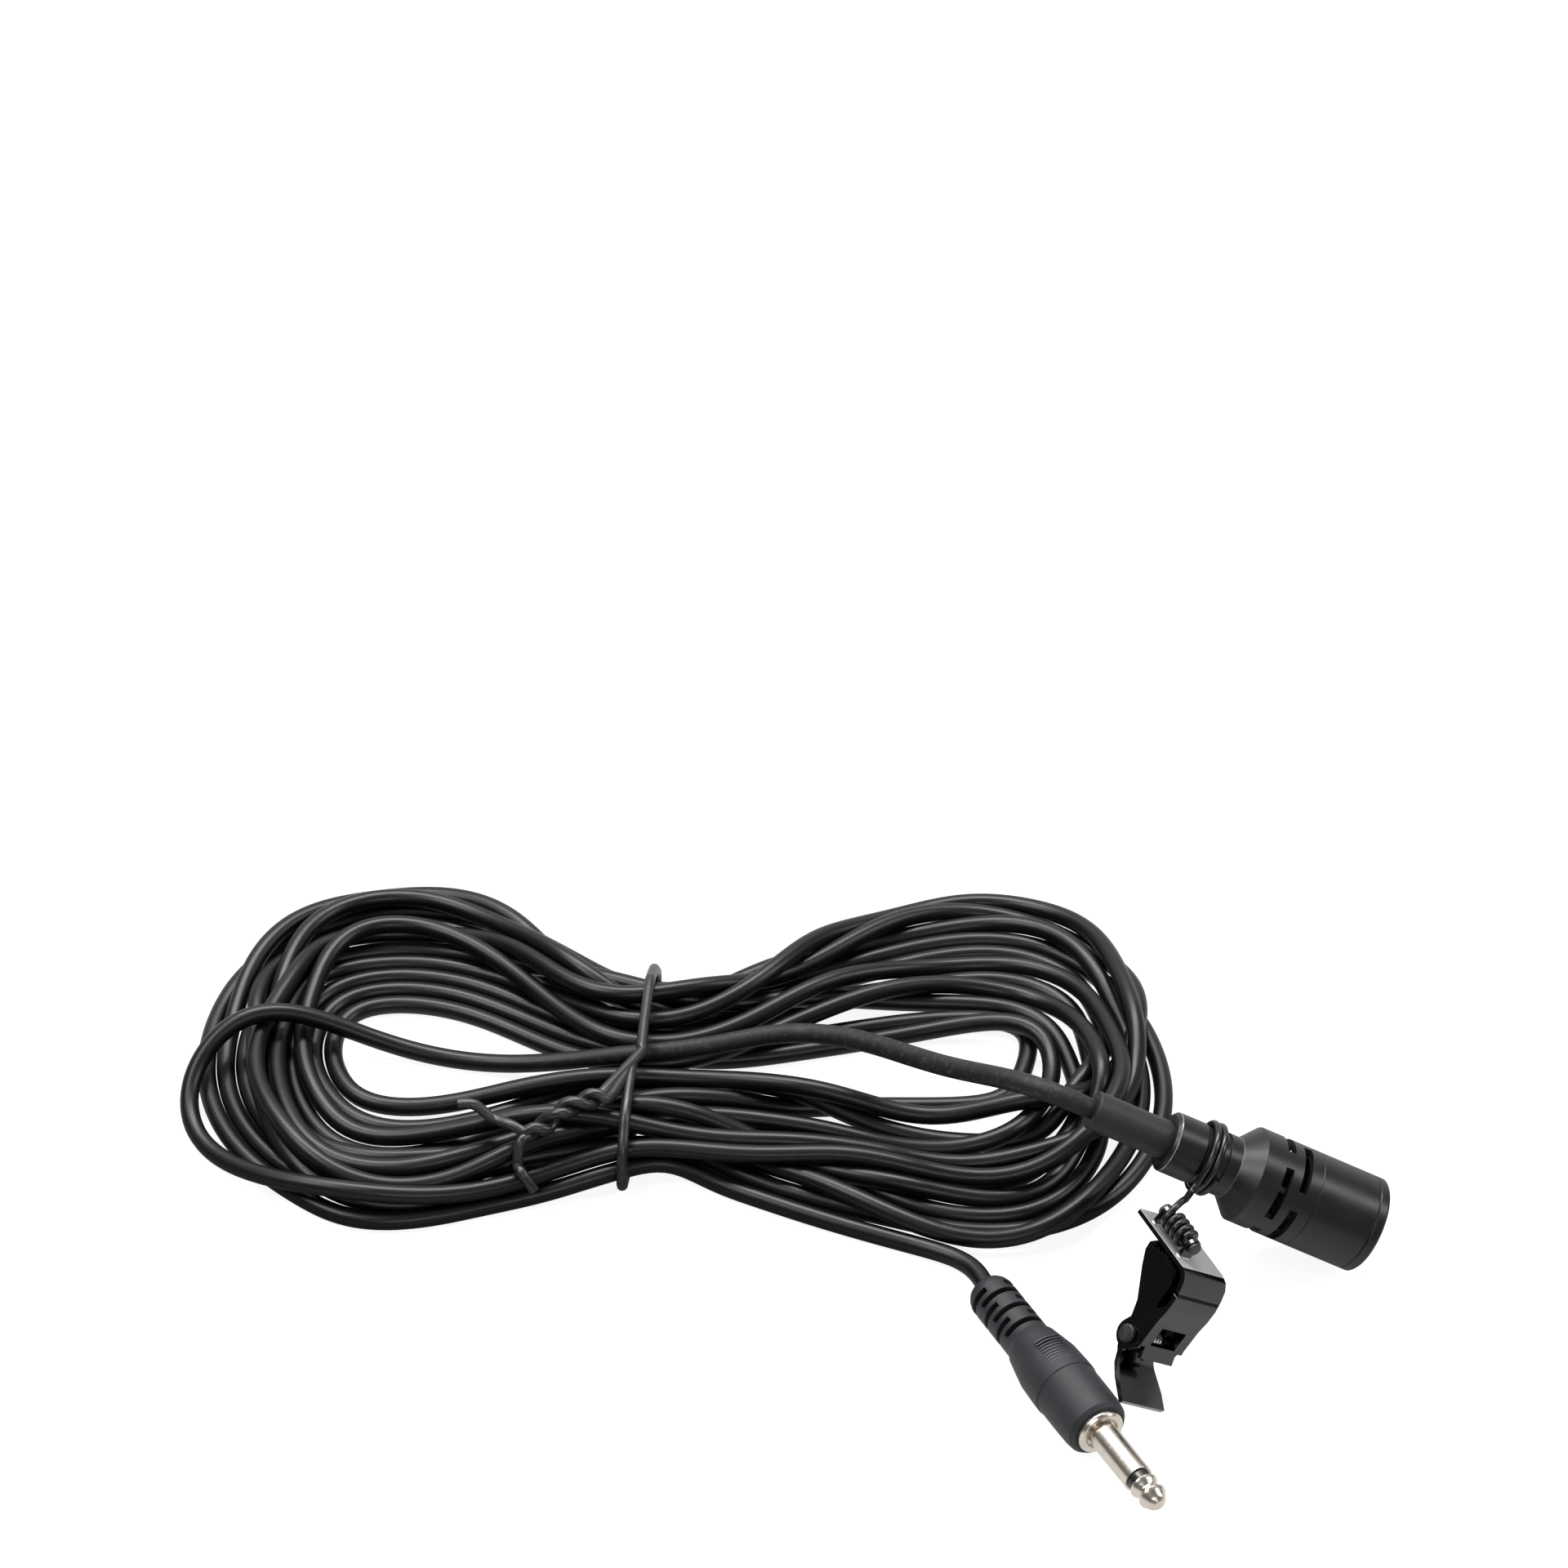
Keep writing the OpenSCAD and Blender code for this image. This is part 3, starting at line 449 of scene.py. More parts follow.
def nickel(paint):
    """Bright nickel with fine turning marks and light scuffs."""
    tone = bpy.context.scene.plug_settings.plating_colour
    station = paint.along(PLUG_FACE, PLUG_AXIS)
    cloud = paint.noise(340.0, 4.0, 0.6)
    rings = (station * 55.0 + cloud * 5.0).sine()
    scuffs = paint.noise(1700.0, 5.0, 0.75).over(0.55, 0.7)
    shade = paint.mix(cloud.over(0.3, 0.8), tone, scaled(tone, 0.82))
    rough = 0.23 + cloud * 0.08 + scuffs * 0.06
    normal = paint.bump(rings, 0.03, 0.00001)
    return paint.finish(colour=shade, roughness=rough, metallic=1.0, normal=normal)


def plain(tone, rough, metallic=0.0, scale=700.0, depth=0.00004, strength=0.15):
    """A finish with a little mottling and grain, for what shows through the slots or stays inside."""

    def build(paint):
        cloud = paint.noise(scale, 4.0, 0.6)
        shade = paint.mix(cloud.over(0.3, 0.7), scaled(tone, 0.8), scaled(tone, 1.15))
        return paint.finish(
            colour=shade, roughness=rough - 0.05 + cloud * 0.1, metallic=metallic,
            normal=paint.bump(cloud, strength, depth),
        )

    return build


def woven_cloth(paint):
    x, y, z = paint.parts(paint.place())
    weave = (x * 9000.0).sine() * (y * 9000.0).sine() + (z * 9000.0).sine()
    shade = paint.mix(weave.over(-1.0, 1.0), (0.006, 0.006, 0.006), (0.022, 0.022, 0.022))
    return paint.finish(colour=shade, roughness=0.9, normal=paint.bump(weave, 0.5, 0.00006), sheen=0.2)


def tie_cover(paint):
    cloud = paint.noise(480.0, 4.0, 0.65)
    shade = paint.mix(cloud.over(0.35, 0.7), (0.006, 0.006, 0.0068), (0.016, 0.016, 0.0175))
    normal = paint.bump(cloud, 0.25, 0.00008)
    return paint.finish(colour=shade, roughness=0.30 + cloud * 0.16, normal=normal, specular=0.5)


# ---------------------------------------------------------------- meshes


def keep(name, mesh, body, finish, stands_for=()):
    """Adds a finished piece to the scene, on its body."""
    piece = bpy.data.objects.new(name, mesh)
    bpy.context.collection.objects.link(piece)
    mesh.materials.clear()
    mesh.materials.append(finish)
    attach(piece, body)
    if stands_for:
        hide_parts(*stands_for)
    return piece


def smooth_by_angle(mesh, degrees):
    mesh.shade_smooth()
    mesh.set_sharp_from_angle(angle=math.radians(degrees))


SHARP_ANGLE = 28.0
WIRE_SMOOTH_ANGLE = 50.0


def rounded_copy(node, name, body, finish, width, segments=2):
    """A copy of a CAD node with merged corners and rounded edges, which stands for it."""
    source = frame["nodes"][node]
    mesh = source.data.copy()
    mesh.name = name
    made = bmesh.new()
    made.from_mesh(mesh)
    bmesh.ops.remove_doubles(made, verts=made.verts, dist=2e-7)
    bmesh.ops.dissolve_degenerate(made, dist=1e-7, edges=made.edges)
    bmesh.ops.dissolve_limit(made, angle_limit=math.radians(0.6), verts=made.verts, edges=made.edges)
    made.to_mesh(mesh)
    made.free()
    if "custom_normal" in mesh.attributes:
        mesh.attributes.remove(mesh.attributes["custom_normal"])
    smooth_by_angle(mesh, SHARP_ANGLE)
    piece = keep(name, mesh, body, finish, (node,))
    bevel = piece.modifiers.new("Rounded edges", "BEVEL")
    bevel.width = width
    bevel.segments = segments
    bevel.limit_method = "ANGLE"
    bevel.angle_limit = math.radians(SHARP_ANGLE)
    bevel.use_clamp_overlap = True
    weighted = piece.modifiers.new("Flat faces", "WEIGHTED_NORMAL")
    weighted.keep_sharp = True
    return piece


def paint_node(node, finish):
    """Gives a CAD node that stays in place its finish."""
    piece = frame["nodes"][node]
    piece.data.materials.clear()
    piece.data.materials.append(finish)


def unit(v):
    return v / max(np.linalg.norm(v), 1e-12)


def even(points, step):
    """The line through the points, cut into equal steps of about the given length."""
    run = np.r_[0, np.cumsum(np.linalg.norm(np.diff(points[:, :3], axis=0), axis=1))]
    at = np.linspace(0, run[-1], int(round(run[-1] / step)) + 1)
    return np.stack([np.interp(at, run, points[:, k]) for k in range(points.shape[1])], 1)


def curve_through(points, step, cuts=14):
    """A smooth line through the points, cut into equal steps."""
    points = np.asarray(points, float)
    line = []
    for i in range(len(points) - 1):
        a, b = points[max(i - 1, 0)], points[i]
        c, d = points[i + 1], points[min(i + 2, len(points) - 1)]
        for t in np.linspace(0, 1, cuts, endpoint=False):
            bend, twist = 2 * a - 5 * b + 4 * c - d, 3 * b - a - 3 * c + d
            line.append(0.5 * (2 * b + (c - a) * t + bend * t**2 + twist * t**3))
    line.append(points[-1])
    return even(np.array(line), step)


def tube_mesh(name, line, radii, sides, uv_name):
    """A closed tube along a line in metres, with a radius at each point.

    Its UV map holds metres along the line and turns round it.
    """
    n = len(line)
    ahead = np.gradient(line, axis=0)
    ahead /= np.linalg.norm(ahead, axis=1)[:, None]
    side = np.zeros_like(line)
    last = np.array([0.0, 0.0, 1.0])
    for i in range(n):
        last = unit(last - last.dot(ahead[i]) * ahead[i])
        side[i] = last
    other = np.cross(ahead, side)
    turn = 2 * math.pi * np.arange(sides) / sides
    cos, sin = np.cos(turn)[None, :, None], np.sin(turn)[None, :, None]
    rings = line[:, None, :] + radii[:, None, None] * (cos * side[:, None, :] + sin * other[:, None, :])
    corners = rings.reshape(-1, 3)
    k, i = np.meshgrid(np.arange(sides), np.arange(n - 1))
    a = i * sides + k
    b = i * sides + (k + 1) % sides
    walls = np.stack([a, b, b + sides, a + sides], -1).reshape(-1, 4)
    mesh = bpy.data.meshes.new(name)
    faces = walls.tolist() + [list(range(sides - 1, -1, -1)), [(n - 1) * sides + j for j in range(sides)]]
    mesh.from_pydata(corners.tolist(), [], faces)
    run = np.r_[0, np.cumsum(np.linalg.norm(np.diff(line, axis=0), axis=1))]
    uv = mesh.uv_layers.new(name=uv_name)
    flat = np.zeros((len(mesh.loops), 2))
    i, k = i.reshape(-1), k.reshape(-1)
    on_walls = 4 * len(walls)
    flat[:on_walls, 0] = np.stack([run[i], run[i], run[i + 1], run[i + 1]], -1).reshape(-1)
    flat[:on_walls, 1] = np.stack([k, k + 1, k + 1, k], -1).reshape(-1) / sides
    uv.data.foreach_set("uv", flat.reshape(-1))
    smooth_by_angle(mesh, WIRE_SMOOTH_ANGLE)
    return mesh


class Nodes:
    """Builds a Geometry Nodes tree with named inputs."""

    def __init__(self, name, inputs):
        self.group = bpy.data.node_groups.new(name, "GeometryNodeTree")
        face = self.group.interface
        face.new_socket("Geometry", in_out="INPUT", socket_type="NodeSocketGeometry")
        self.ids = {}
        for label, kind, value in inputs:
            socket = face.new_socket(label, in_out="INPUT", socket_type=kind)
            if value is not None:
                socket.default_value = value
            self.ids[label] = socket.identifier
        face.new_socket("Geometry", in_out="OUTPUT", socket_type="NodeSocketGeometry")
        self.given = self.group.nodes.new("NodeGroupInput")
        self.result = self.group.nodes.new("NodeGroupOutput")

    def add(self, kind, links=None, **settings):
        made = self.group.nodes.new(kind)
        for key, value in settings.items():
            setattr(made, key, value)
        for key, value in (links or {}).items():
            if isinstance(value, bpy.types.NodeSocket):
                self.group.links.new(value, made.inputs[key])
            else:
                made.inputs[key].default_value = value
        return made

    def end(self, geometry):
        """Makes the geometry real, gives it its material and leads it out."""
        made_real = self.add("GeometryNodeRealizeInstances", {"Geometry": geometry})
        painted = self.add(
            "GeometryNodeSetMaterial",
            {"Geometry": made_real.outputs["Geometry"], "Material": self.given.outputs["Material"]},
        )
        self.group.links.new(painted.outputs["Geometry"], self.result.inputs[0])


def grown(tree, source, values):
    """The plain mesh that a Geometry Nodes tree makes from a source object, which is then removed."""
    bpy.context.collection.objects.link(source)
    modifier = source.modifiers.new("Grown", "NODES")
    modifier.node_group = tree.group
    for label, value in values.items():
        modifier[tree.ids[label]] = value
    graph = bpy.context.evaluated_depsgraph_get()
    mesh = bpy.data.meshes.new_from_object(source.evaluated_get(graph), depsgraph=graph)
    source.modifiers.remove(modifier)
    bpy.data.objects.remove(source)
    return mesh


def wire_tree():
    """Sweeps a round wire along a curve, with closed ends."""
    tree = Nodes("Swept wire", (
        ("Radius", "NodeSocketFloat", 0.0004), ("Sides", "NodeSocketInt", 16),
        ("Material", "NodeSocketMaterial", None),
    ))
    section = tree.add(
        "GeometryNodeCurvePrimitiveCircle",
        {"Resolution": tree.given.outputs["Sides"], "Radius": tree.given.outputs["Radius"]},
    )
    swept = tree.add(
        "GeometryNodeCurveToMesh",
        {
            "Curve": tree.given.outputs["Geometry"], "Profile Curve": section.outputs["Curve"],
            "Fill Caps": True,
        },
    )
    smooth = tree.add("GeometryNodeSetShadeSmooth", {"Geometry": swept.outputs["Mesh"]})
    tree.end(smooth.outputs["Geometry"])
    return tree


def wire_mesh(name, line, radius, sides, finish):
    """A wire along a line in metres, made by Geometry Nodes."""
    curve = bpy.data.curves.new(name + " line", "CURVE")
    curve.dimensions = "3D"
    spline = curve.splines.new("POLY")
    spline.points.add(len(line) - 1)
    spline.points.foreach_set("co", np.column_stack([line, np.ones(len(line))]).reshape(-1))
    source = bpy.data.objects.new(name + " line", curve)
    mesh = grown(wire_tree(), source, {"Radius": radius, "Sides": sides, "Material": finish})
    bpy.data.curves.remove(curve)
    mesh.name = name
    smooth_by_angle(mesh, WIRE_SMOOTH_ANGLE)
    return mesh


# ---------------------------------------------------------------- the lead's way

# Each turn of the hank, in millimetres: the left lobe's end, top and bottom, the tied waist's upper run, the
# right lobe's end, top and bottom, and the waist's lower run.
TURNS = (
    (-125.5, 68.8, 17.3, 50.0, -6.5, 63.0, 12.5, 24.5),
    (-124.0, 70.0, 19.0, 48.5, -9.5, 66.0, 10.5, 26.5),
    (-121.0, 65.0, 16.8, 46.0, -14.0, 56.0, 15.0, 30.0),
    (-122.5, 62.0, 20.0, 49.5, -17.0, 52.5, 20.0, 32.5),
    (-117.0, 57.0, 25.0, 42.5, -22.5, 49.5, 34.0, 36.0),
    (-119.5, 68.5, 22.0, 47.0, -11.5, 61.5, 28.0, 31.5),
    (-115.0, 55.5, 29.0, 40.5, -19.0, 47.0, 25.5, 37.5),
    (-121.0, 63.5, 17.8, 47.5, -8.5, 67.5, 30.0, 28.5),
    (-114.5, 52.0, 33.5, 39.0, -14.0, 55.0, 17.5, 35.0),
    (-119.0, 60.5, 19.5, 44.0, -10.0, 70.0, 22.5, 29.0),
    (-116.0, 63.5, 26.5, 38.5, -12.0, 60.0, 19.5, 26.0),
)
# Where the last turn comes back to the waist.
LAST_RUN_Y = 23.5
# From the hank's last turn round the loose loop, then up to the shrunk sleeve.
LOOSE_LOOP = (
    (-79.3, 21.6), (-85.3, 19.3), (-91.3, 17.2), (-98.3, 16.1), (-106.3, 16.3), (-114.3, 18.5),
    (-121.3, 22.7), (-126.7, 28.5), (-128.1, 34.9), (-125.3, 40.7), (-119.3, 43.9), (-111.3, 44.5),
    (-102.3, 43.3), (-93.3, 41.5), (-84.3, 39.9), (-76.3, 39.0), (-68.3, 38.7), (-61.3, 38.9),
)
RISING = ((-55.3, 39.4, 8.5, 0.1), (-49.3, 38.5, 9.3, 0.4), (-43.8, 35.6, 10.8, 0.8))
HELD_UP = (
    (-38.8, 31.2, 13.0), (-34.5, 26.4, 16.0), (-30.9, 21.9, 19.4), (-27.3, 18.1, 22.2), (-23.3, 15.3, 23.4),
)
TO_PLUG = (
    (-30.9, 6.1, 2.15), (-33.7, 8.5, 1.6), (-37.9, 10.5, 1.2), (-43.3, 12.5, 1.12), (-49.9, 15.1, 1.12),
    (-56.3, 17.9, 1.12), (-62.8, 20.9, 1.15),
)


# How much higher each turn is laid than the one before, how firmly a turn keeps its place seen from above,
# and the length of the lead's runs while it settles.
STACK_RISE, TURN_HOLD, LEAD_STEP = 2.3, 0.02, 3.5


def turn_plan(k):
    """Points of turn k of the hank, seen from above."""
    left, top, low, waist, right, right_top, right_low, run = TURNS[k]
    after = TURNS[k + 1][7] if k + 1 < len(TURNS) else LAST_RUN_Y
    tall, right_tall = top - low, right_top - right_low
    return (
        (-80, run - 0.20 * (run - low)), (-90, run - 0.68 * (run - low)), (-102, low),
        (-111, low + 0.06 * tall), (left + 4.5, low + 0.22 * tall), (left + 0.4, low + 0.45 * tall),
        (left + 2.2, low + 0.68 * tall), (-73.85 + 0.35 * left, low + 0.89 * tall), (-105, top),
        (-93, top - 0.12 * (top - waist)), (-82, top - 0.62 * (top - waist)), (WAIST_X, waist),
        (-62, waist + 0.16 * (right_top - waist)), (-50, waist + 0.55 * (right_top - waist)),
        (-38, waist + 0.88 * (right_top - waist)), (-26, right_top),
        (-12.15 + 0.35 * right, right_top - 0.13 * right_tall),
        (right - 2.2, right_top - 0.34 * right_tall), (right, right_top - 0.58 * right_tall),
        (right - 4.5, right_top - 0.80 * right_tall), (-16.7 + 0.3 * right, right_top - 0.95 * right_tall),
        (-32, right_low), (-45, after - 0.72 * (after - right_low)),
        (-58, after - 0.27 * (after - right_low)), (WAIST_X + 1, after),
    )


def laid_lead(radius):
    """The lead before it settles, its loops stacked in the order in which they were wound.

    Each point has its place, how firmly it keeps its place seen from above, how firmly it keeps its height,
    and the height that it comes down to. Gives the points, and how far the held end starts above its place.
    """
    tail_end = -GRIP_L - TAIL_L
    at_plug = [plug_point(0, 0, tail_end), plug_point(0, 0, tail_end - 1.4), *TO_PLUG]
    rows = [(*p, 1, 1, p[2]) for p in at_plug]
    rows.append((WAIST_X + 1, TURNS[0][7], radius, TURN_HOLD, 0, radius))
    for k in range(len(TURNS)):
        plan = turn_plan(k)
        rows += [
            (x, y, radius + (k + j / len(plan)) * STACK_RISE, TURN_HOLD, 0, radius)
            for j, (x, y) in enumerate(plan)
        ]
    above = rows[-1][2] + 2
    resting = RISING[0][2]
    hoist = above - resting
    rows += [(x, y, above, 0.25, 0, resting) for x, y in LOOSE_LOOP]
    rows += [(x, y, z + hoist, 0.5, firm, z) for x, y, z, firm in RISING]
    held = [*HELD_UP, mic_point(0, 0, -2.4), mic_point(0, 0, 0)]
    rows += [(x, y, z + hoist, 1, 1, z) for x, y, z in held]
    return curve_through(rows, LEAD_STEP), hoist


def nearest_on_runs(line, i, j):
    """For pairs of straight runs of the line: their nearest points' shares, and the vector between them."""
    a, b = line[i], line[j]
    u, v, w = line[i + 1] - a, line[j + 1] - b, a - b
    uu, uv, vv = (u * u).sum(1), (u * v).sum(1), (v * v).sum(1)
    uw, vw = (u * w).sum(1), (v * w).sum(1)
    skew = uu * vv - uv * uv
    s = np.clip(np.where(skew > 1e-6, (uv * vw - vv * uw) / np.maximum(skew, 1e-6), 0.5), 0, 1)
    t = np.clip((uv * s + vw) / np.maximum(vv, 1e-9), 0, 1)
    s = np.clip((uv * t - uw) / np.maximum(uu, 1e-9), 0, 1)
    return s, t, (a + u * s[:, None]) - (b + v * t[:, None])


def over_tie(x):
    """1 where the hank lies on its tie, 0 where it lies on the table, with a smooth step between."""
    t = np.clip((TIE_REACH - np.abs(x - TIE_X)) / TIE_SLOPE, 0, 1)
    return t * t * (3 - 2 * t)


def settled(laid, hoist, diameter, steps, tie_height):
    """Lets the laid turns sink on each other under their weight, without passing through one another.

    The turns stop on the floor and, at the waist, on the tie, which lifts them by its height.
    """
    line, start = laid[:, :3].copy(), laid[:, :3].copy()
    keeps, lifted = np.clip(laid[:, 3], 0, 1), np.clip(laid[:, 4], 0, 1)
    fixed = keeps > 0.97
    free = (~fixed).astype(float)[:, None]
    n = len(line)
    closest = diameter + STRAND_GAP
    rising = (np.arange(n) > n // 2) & (lifted > 0.02)
    pairs = None
    for step in range(steps):
        part = step / steps
        late = part >= 0.8
        sink = 0.16 if part < 0.45 else 0.07 if part < 0.75 else 0.0
        line[:, 2] -= sink * free[:, 0] * (1 - lifted)
        straight = np.zeros_like(line)
        straight[2:-2] = (4 * line[1:-3] + 4 * line[3:-1] - line[:-4] - line[4:]) / 6 - line[2:-2]
        line += (0.22 if late else 0.12) * straight * free
        pull = np.where(fixed, 1.0, keeps * (0.4 if late else 1.0))[:, None]
        line[:, :2] += pull * (start[:, :2] - line[:, :2])
        goal = laid[:, 5] + np.where(rising, hoist * max(0.0, 1 - part / 0.5), 0.0)
        line[fixed, 2] = goal[fixed]
        part_way = rising & ~fixed
        line[part_way, 2] += 0.5 * lifted[part_way] * (goal[part_way] - line[part_way, 2])
        if step % 6 == 0:
            middle = 0.5 * (line[1:] + line[:-1])
            i, j = np.triu_indices(n - 1, 4)
            near = np.abs(middle[i, 0] - middle[j, 0]) < 7.5
            i, j = i[near], j[near]
            near = ((middle[i] - middle[j]) ** 2).sum(1) < (LEAD_STEP + diameter + 1.4) ** 2
            pairs = i[near], j[near]
        for _ in range(3 if late else 2):
            i, j = pairs
            s, t, apart = nearest_on_runs(line, i, j)
            gap = np.linalg.norm(apart, axis=1)
            hit = gap < closest
            if not hit.any():
                break
            i, j, s, t = i[hit], j[hit], s[hit], t[hit]
            gap = np.maximum(gap[hit], 1e-6)
            away = apart[hit] / gap[:, None]
            can_i = 1.0 - (fixed[i] | fixed[i + 1])
            can_j = 1.0 - (fixed[j] | fixed[j + 1])
            amount = (closest - gap) * 0.7 / np.maximum(can_i + can_j, 1e-6)
            push_i, push_j = away * (amount * can_i)[:, None], away * (amount * can_j)[:, None]
            total, count = np.zeros_like(line), np.zeros(n)
            ends = (i, push_i, 1 - s), (i + 1, push_i, s), (j, -push_j, 1 - t), (j + 1, -push_j, t)
            for at, push, weight in ends:
                np.add.at(total, at, push * (0.5 + weight[:, None]))
                np.add.at(count, at, 0.5 + weight)
            line += total / np.maximum(count, 1)[:, None] * 1.6 * free
        line[:, 2] = np.maximum(line[:, 2], diameter / 2 + tie_height * over_tie(line[:, 0]))
    return line


LEAD_LINE = {}


def lead_line():
    """The settled lead from the shrunk sleeve to the plug, in millimetres."""
    if "line" not in LEAD_LINE:
        lead = bpy.context.scene.lead_settings
        diameter = lead.diameter / MM
        steps = lead.settle_steps
        line = settled(*laid_lead(diameter / 2), diameter, steps, lead.tie_d / MM + 0.06)[::-1]
        fine = curve_through(line, 1.0, 4)
        for _ in range(6):
            fine[2:-2] += 0.5 * (0.5 * (fine[1:-3] + fine[3:-1]) - fine[2:-2])
        LEAD_LINE["line"] = fine
    return LEAD_LINE["line"]


# ---------------------------------------------------------------- operators

# In metres: what the camera and the lamps look at, and each lamp's place, size and power in watts.
CAMERA_AIM = (-0.0539, 0.0952, 0.0)
LAMP_AIM = (-0.055, 0.03, 0.0)
LAMPS = (
    ("Top softbox", (-0.10, 0.36, 0.62), (0.60, 0.16), 8.0),
    ("Left softbox", (-0.46, -0.04, 0.62), (0.30, 0.24), 3.2),
    ("Right strip", (0.52, 0.02, 0.40), (0.10, 0.42), 2.0),
    ("Front fill", (0.05, -0.72, 0.60), (0.5, 0.12), 2.0),
)
WHITE = (1.0, 1.0, 1.0)


class MIC_OT_stage(bpy.types.Operator):
    """Sets the camera, the pale floor and the soft lights"""

    bl_idname = "mic.stage"
    bl_label = "Stage"

    def execute(self, context):
        stage = context.scene.stage_settings
        aim = Vector(CAMERA_AIM)
        angle = stage.height_angle
        camera = bpy.data.cameras.new("Camera")
        camera.lens = stage.lens
        camera.sensor_width = 36.0
        camera.clip_start, camera.clip_end = 0.01, 20.0
        eye = bpy.data.objects.new("Camera", camera)
        eye.location = aim + stage.distance * Vector((0, -math.cos(angle), math.sin(angle)))
        eye.rotation_euler = (math.pi / 2 - angle, 0, 0)
        context.collection.objects.link(eye)
        context.scene.camera = eye

        # The camera sees the floor almost evenly white, with a soft shadow. Glossy faces see it white in
        # front and behind, and as a dark grey card across the middle, under the hank.
        paint = Paint("Pale floor")
        rays = paint.node("ShaderNodeLightPath").socket.node.outputs
        seen = Value(paint, rays["Is Camera Ray"]).largest(Value(paint, rays["Is Transmission Ray"]))
        mirrored = Value(paint, rays["Is Glossy Ray"])
        _, depth, _ = paint.parts(paint.place())
        behind = depth.over(0.012, 0.07).largest(1 - depth.over(-0.001, 0.010))
        paint.finish(colour=tuple(stage.floor_colour), roughness=0.9, specular=0.1)
        kind = "ShaderNodeEmission"
        white = paint.node(kind, {}, {"Color": WHITE, "Strength": 1.12}, "Emission")
        card = paint.node(kind, {}, {"Color": (0.26, 0.26, 0.265), "Strength": 0.4}, "Emission")
        lit = Value(paint, paint.shader.outputs["BSDF"])
        pale = paint.node("ShaderNodeMixShader", {}, {0: seen * 0.80, 1: lit, 2: white})
        glow = paint.node("ShaderNodeMixShader", {}, {0: behind * 0.85, 1: card, 2: white})
        mixed = paint.node("ShaderNodeMixShader", {}, {0: mirrored * 0.92, 1: pale, 2: glow})
        paint.tree.links.new(mixed.socket, paint.tree.nodes["Material Output"].inputs["Surface"])

        mesh = bpy.data.meshes.new("Floor")
        back, sweep = 1.6, 0.6
        bends = np.linspace(0.1, math.pi / 2, 12)
        profile = [(-1.5, 0.0), (back, 0.0)]
        profile += [(back + sweep * math.sin(t), sweep - sweep * math.cos(t)) for t in bends]
        profile.append((back + sweep, 2.6))
        corners = [(x, y, z) for y, z in profile for x in (-2.5, 2.5)]
        faces = [(2 * i, 2 * i + 1, 2 * i + 3, 2 * i + 2) for i in range(len(profile) - 1)]
        mesh.from_pydata(corners, [], faces)
        mesh.materials.append(paint.material)
        mesh.shade_smooth()
        floor = bpy.data.objects.new("Floor", mesh)
        context.collection.objects.link(floor)

        world = bpy.data.worlds.new("Soft room")
        world.use_nodes = True
        background = world.node_tree.nodes["Background"]
        background.inputs["Color"].default_value = (*WHITE, 1.0)
        background.inputs["Strength"].default_value = 0.12
        context.scene.world = world

        for name, place, size, power in LAMPS:
            lamp = bpy.data.lights.new(name, "AREA")
            lamp.shape = "RECTANGLE"
            lamp.size, lamp.size_y = size
            lamp.energy = power
            holder = bpy.data.objects.new(name, lamp)
            holder.location = place
            ahead = Vector(LAMP_AIM) - holder.location
            holder.rotation_euler = ahead.to_track_quat("-Z", "Y").to_euler()
            context.collection.objects.link(holder)
        context.scene.view_settings.view_transform = "Standard"
        return {"FINISHED"}


class MIC_OT_lead(bpy.types.Operator):
    """Lays the lead in its tied hank, with its free ends to the microphone and the plug"""

    bl_idname = "mic.lead"
    bl_label = "Lead"

    def execute(self, context):
        lead = context.scene.lead_settings
        line = lead_line() * MM
        run = np.r_[0, np.cumsum(np.linalg.norm(np.diff(line, axis=0), axis=1))] / MM
        # The lead is thickest just outside the sleeve, and has its own thickness from the loose loop on.
        swell = np.clip((run - 0.3) / 1.2, 0, 1) * np.clip((75 - run) / 35, 0, 1)
        full = np.clip((run - 60) / 20, 0, 1)
        radii = lead.diameter / 2 * (0.95 + 0.15 * swell + 0.05 * full)
        mesh = tube_mesh("lead", line, radii, 16, "jacket")
        piece = keep(
            "lead", mesh, "microphone", material("Lead jacket", lead_jacket),
            ("cord_mic_end", "cord_hank", "cord_plug_end"),
        )
        context.scene["lead_name"] = piece.name
        return {"FINISHED"}


# The twist of the tie's ends, seen from above: where it starts, its direction, and its turn for each step in
# degrees.
TWIST_AT, TWIST_ALONG, TWIST_TURN, TWIST_STEPS = (-75.6, 27.4), (-0.88, -0.475), 62, 11
# The tie's band: its middle and its front in x, how far it leans to its back, and the angles of its ends.
BAND_X, BAND_FRONT, BAND_LEAN, BAND_ENDS = -72.6, -73.4, 3.0, (112, -232)
# The tails: places from above, and how far over what lies there.
FIRST_TAIL = (
    (-93.6, 25.4, 3.6), (-91.6, 25.2, 3.0), (-89.4, 24.4, 2.0), (-87.2, 23.2, 1.2), (-85.6, 22.4, 0.9),
)
LAST_TAIL = ((-85.9, 21.2, 0.4), (-86.3, 19.7, 0.3), (-85.7, 18.2, 0.3), (-84.3, 17.4, 0.3))


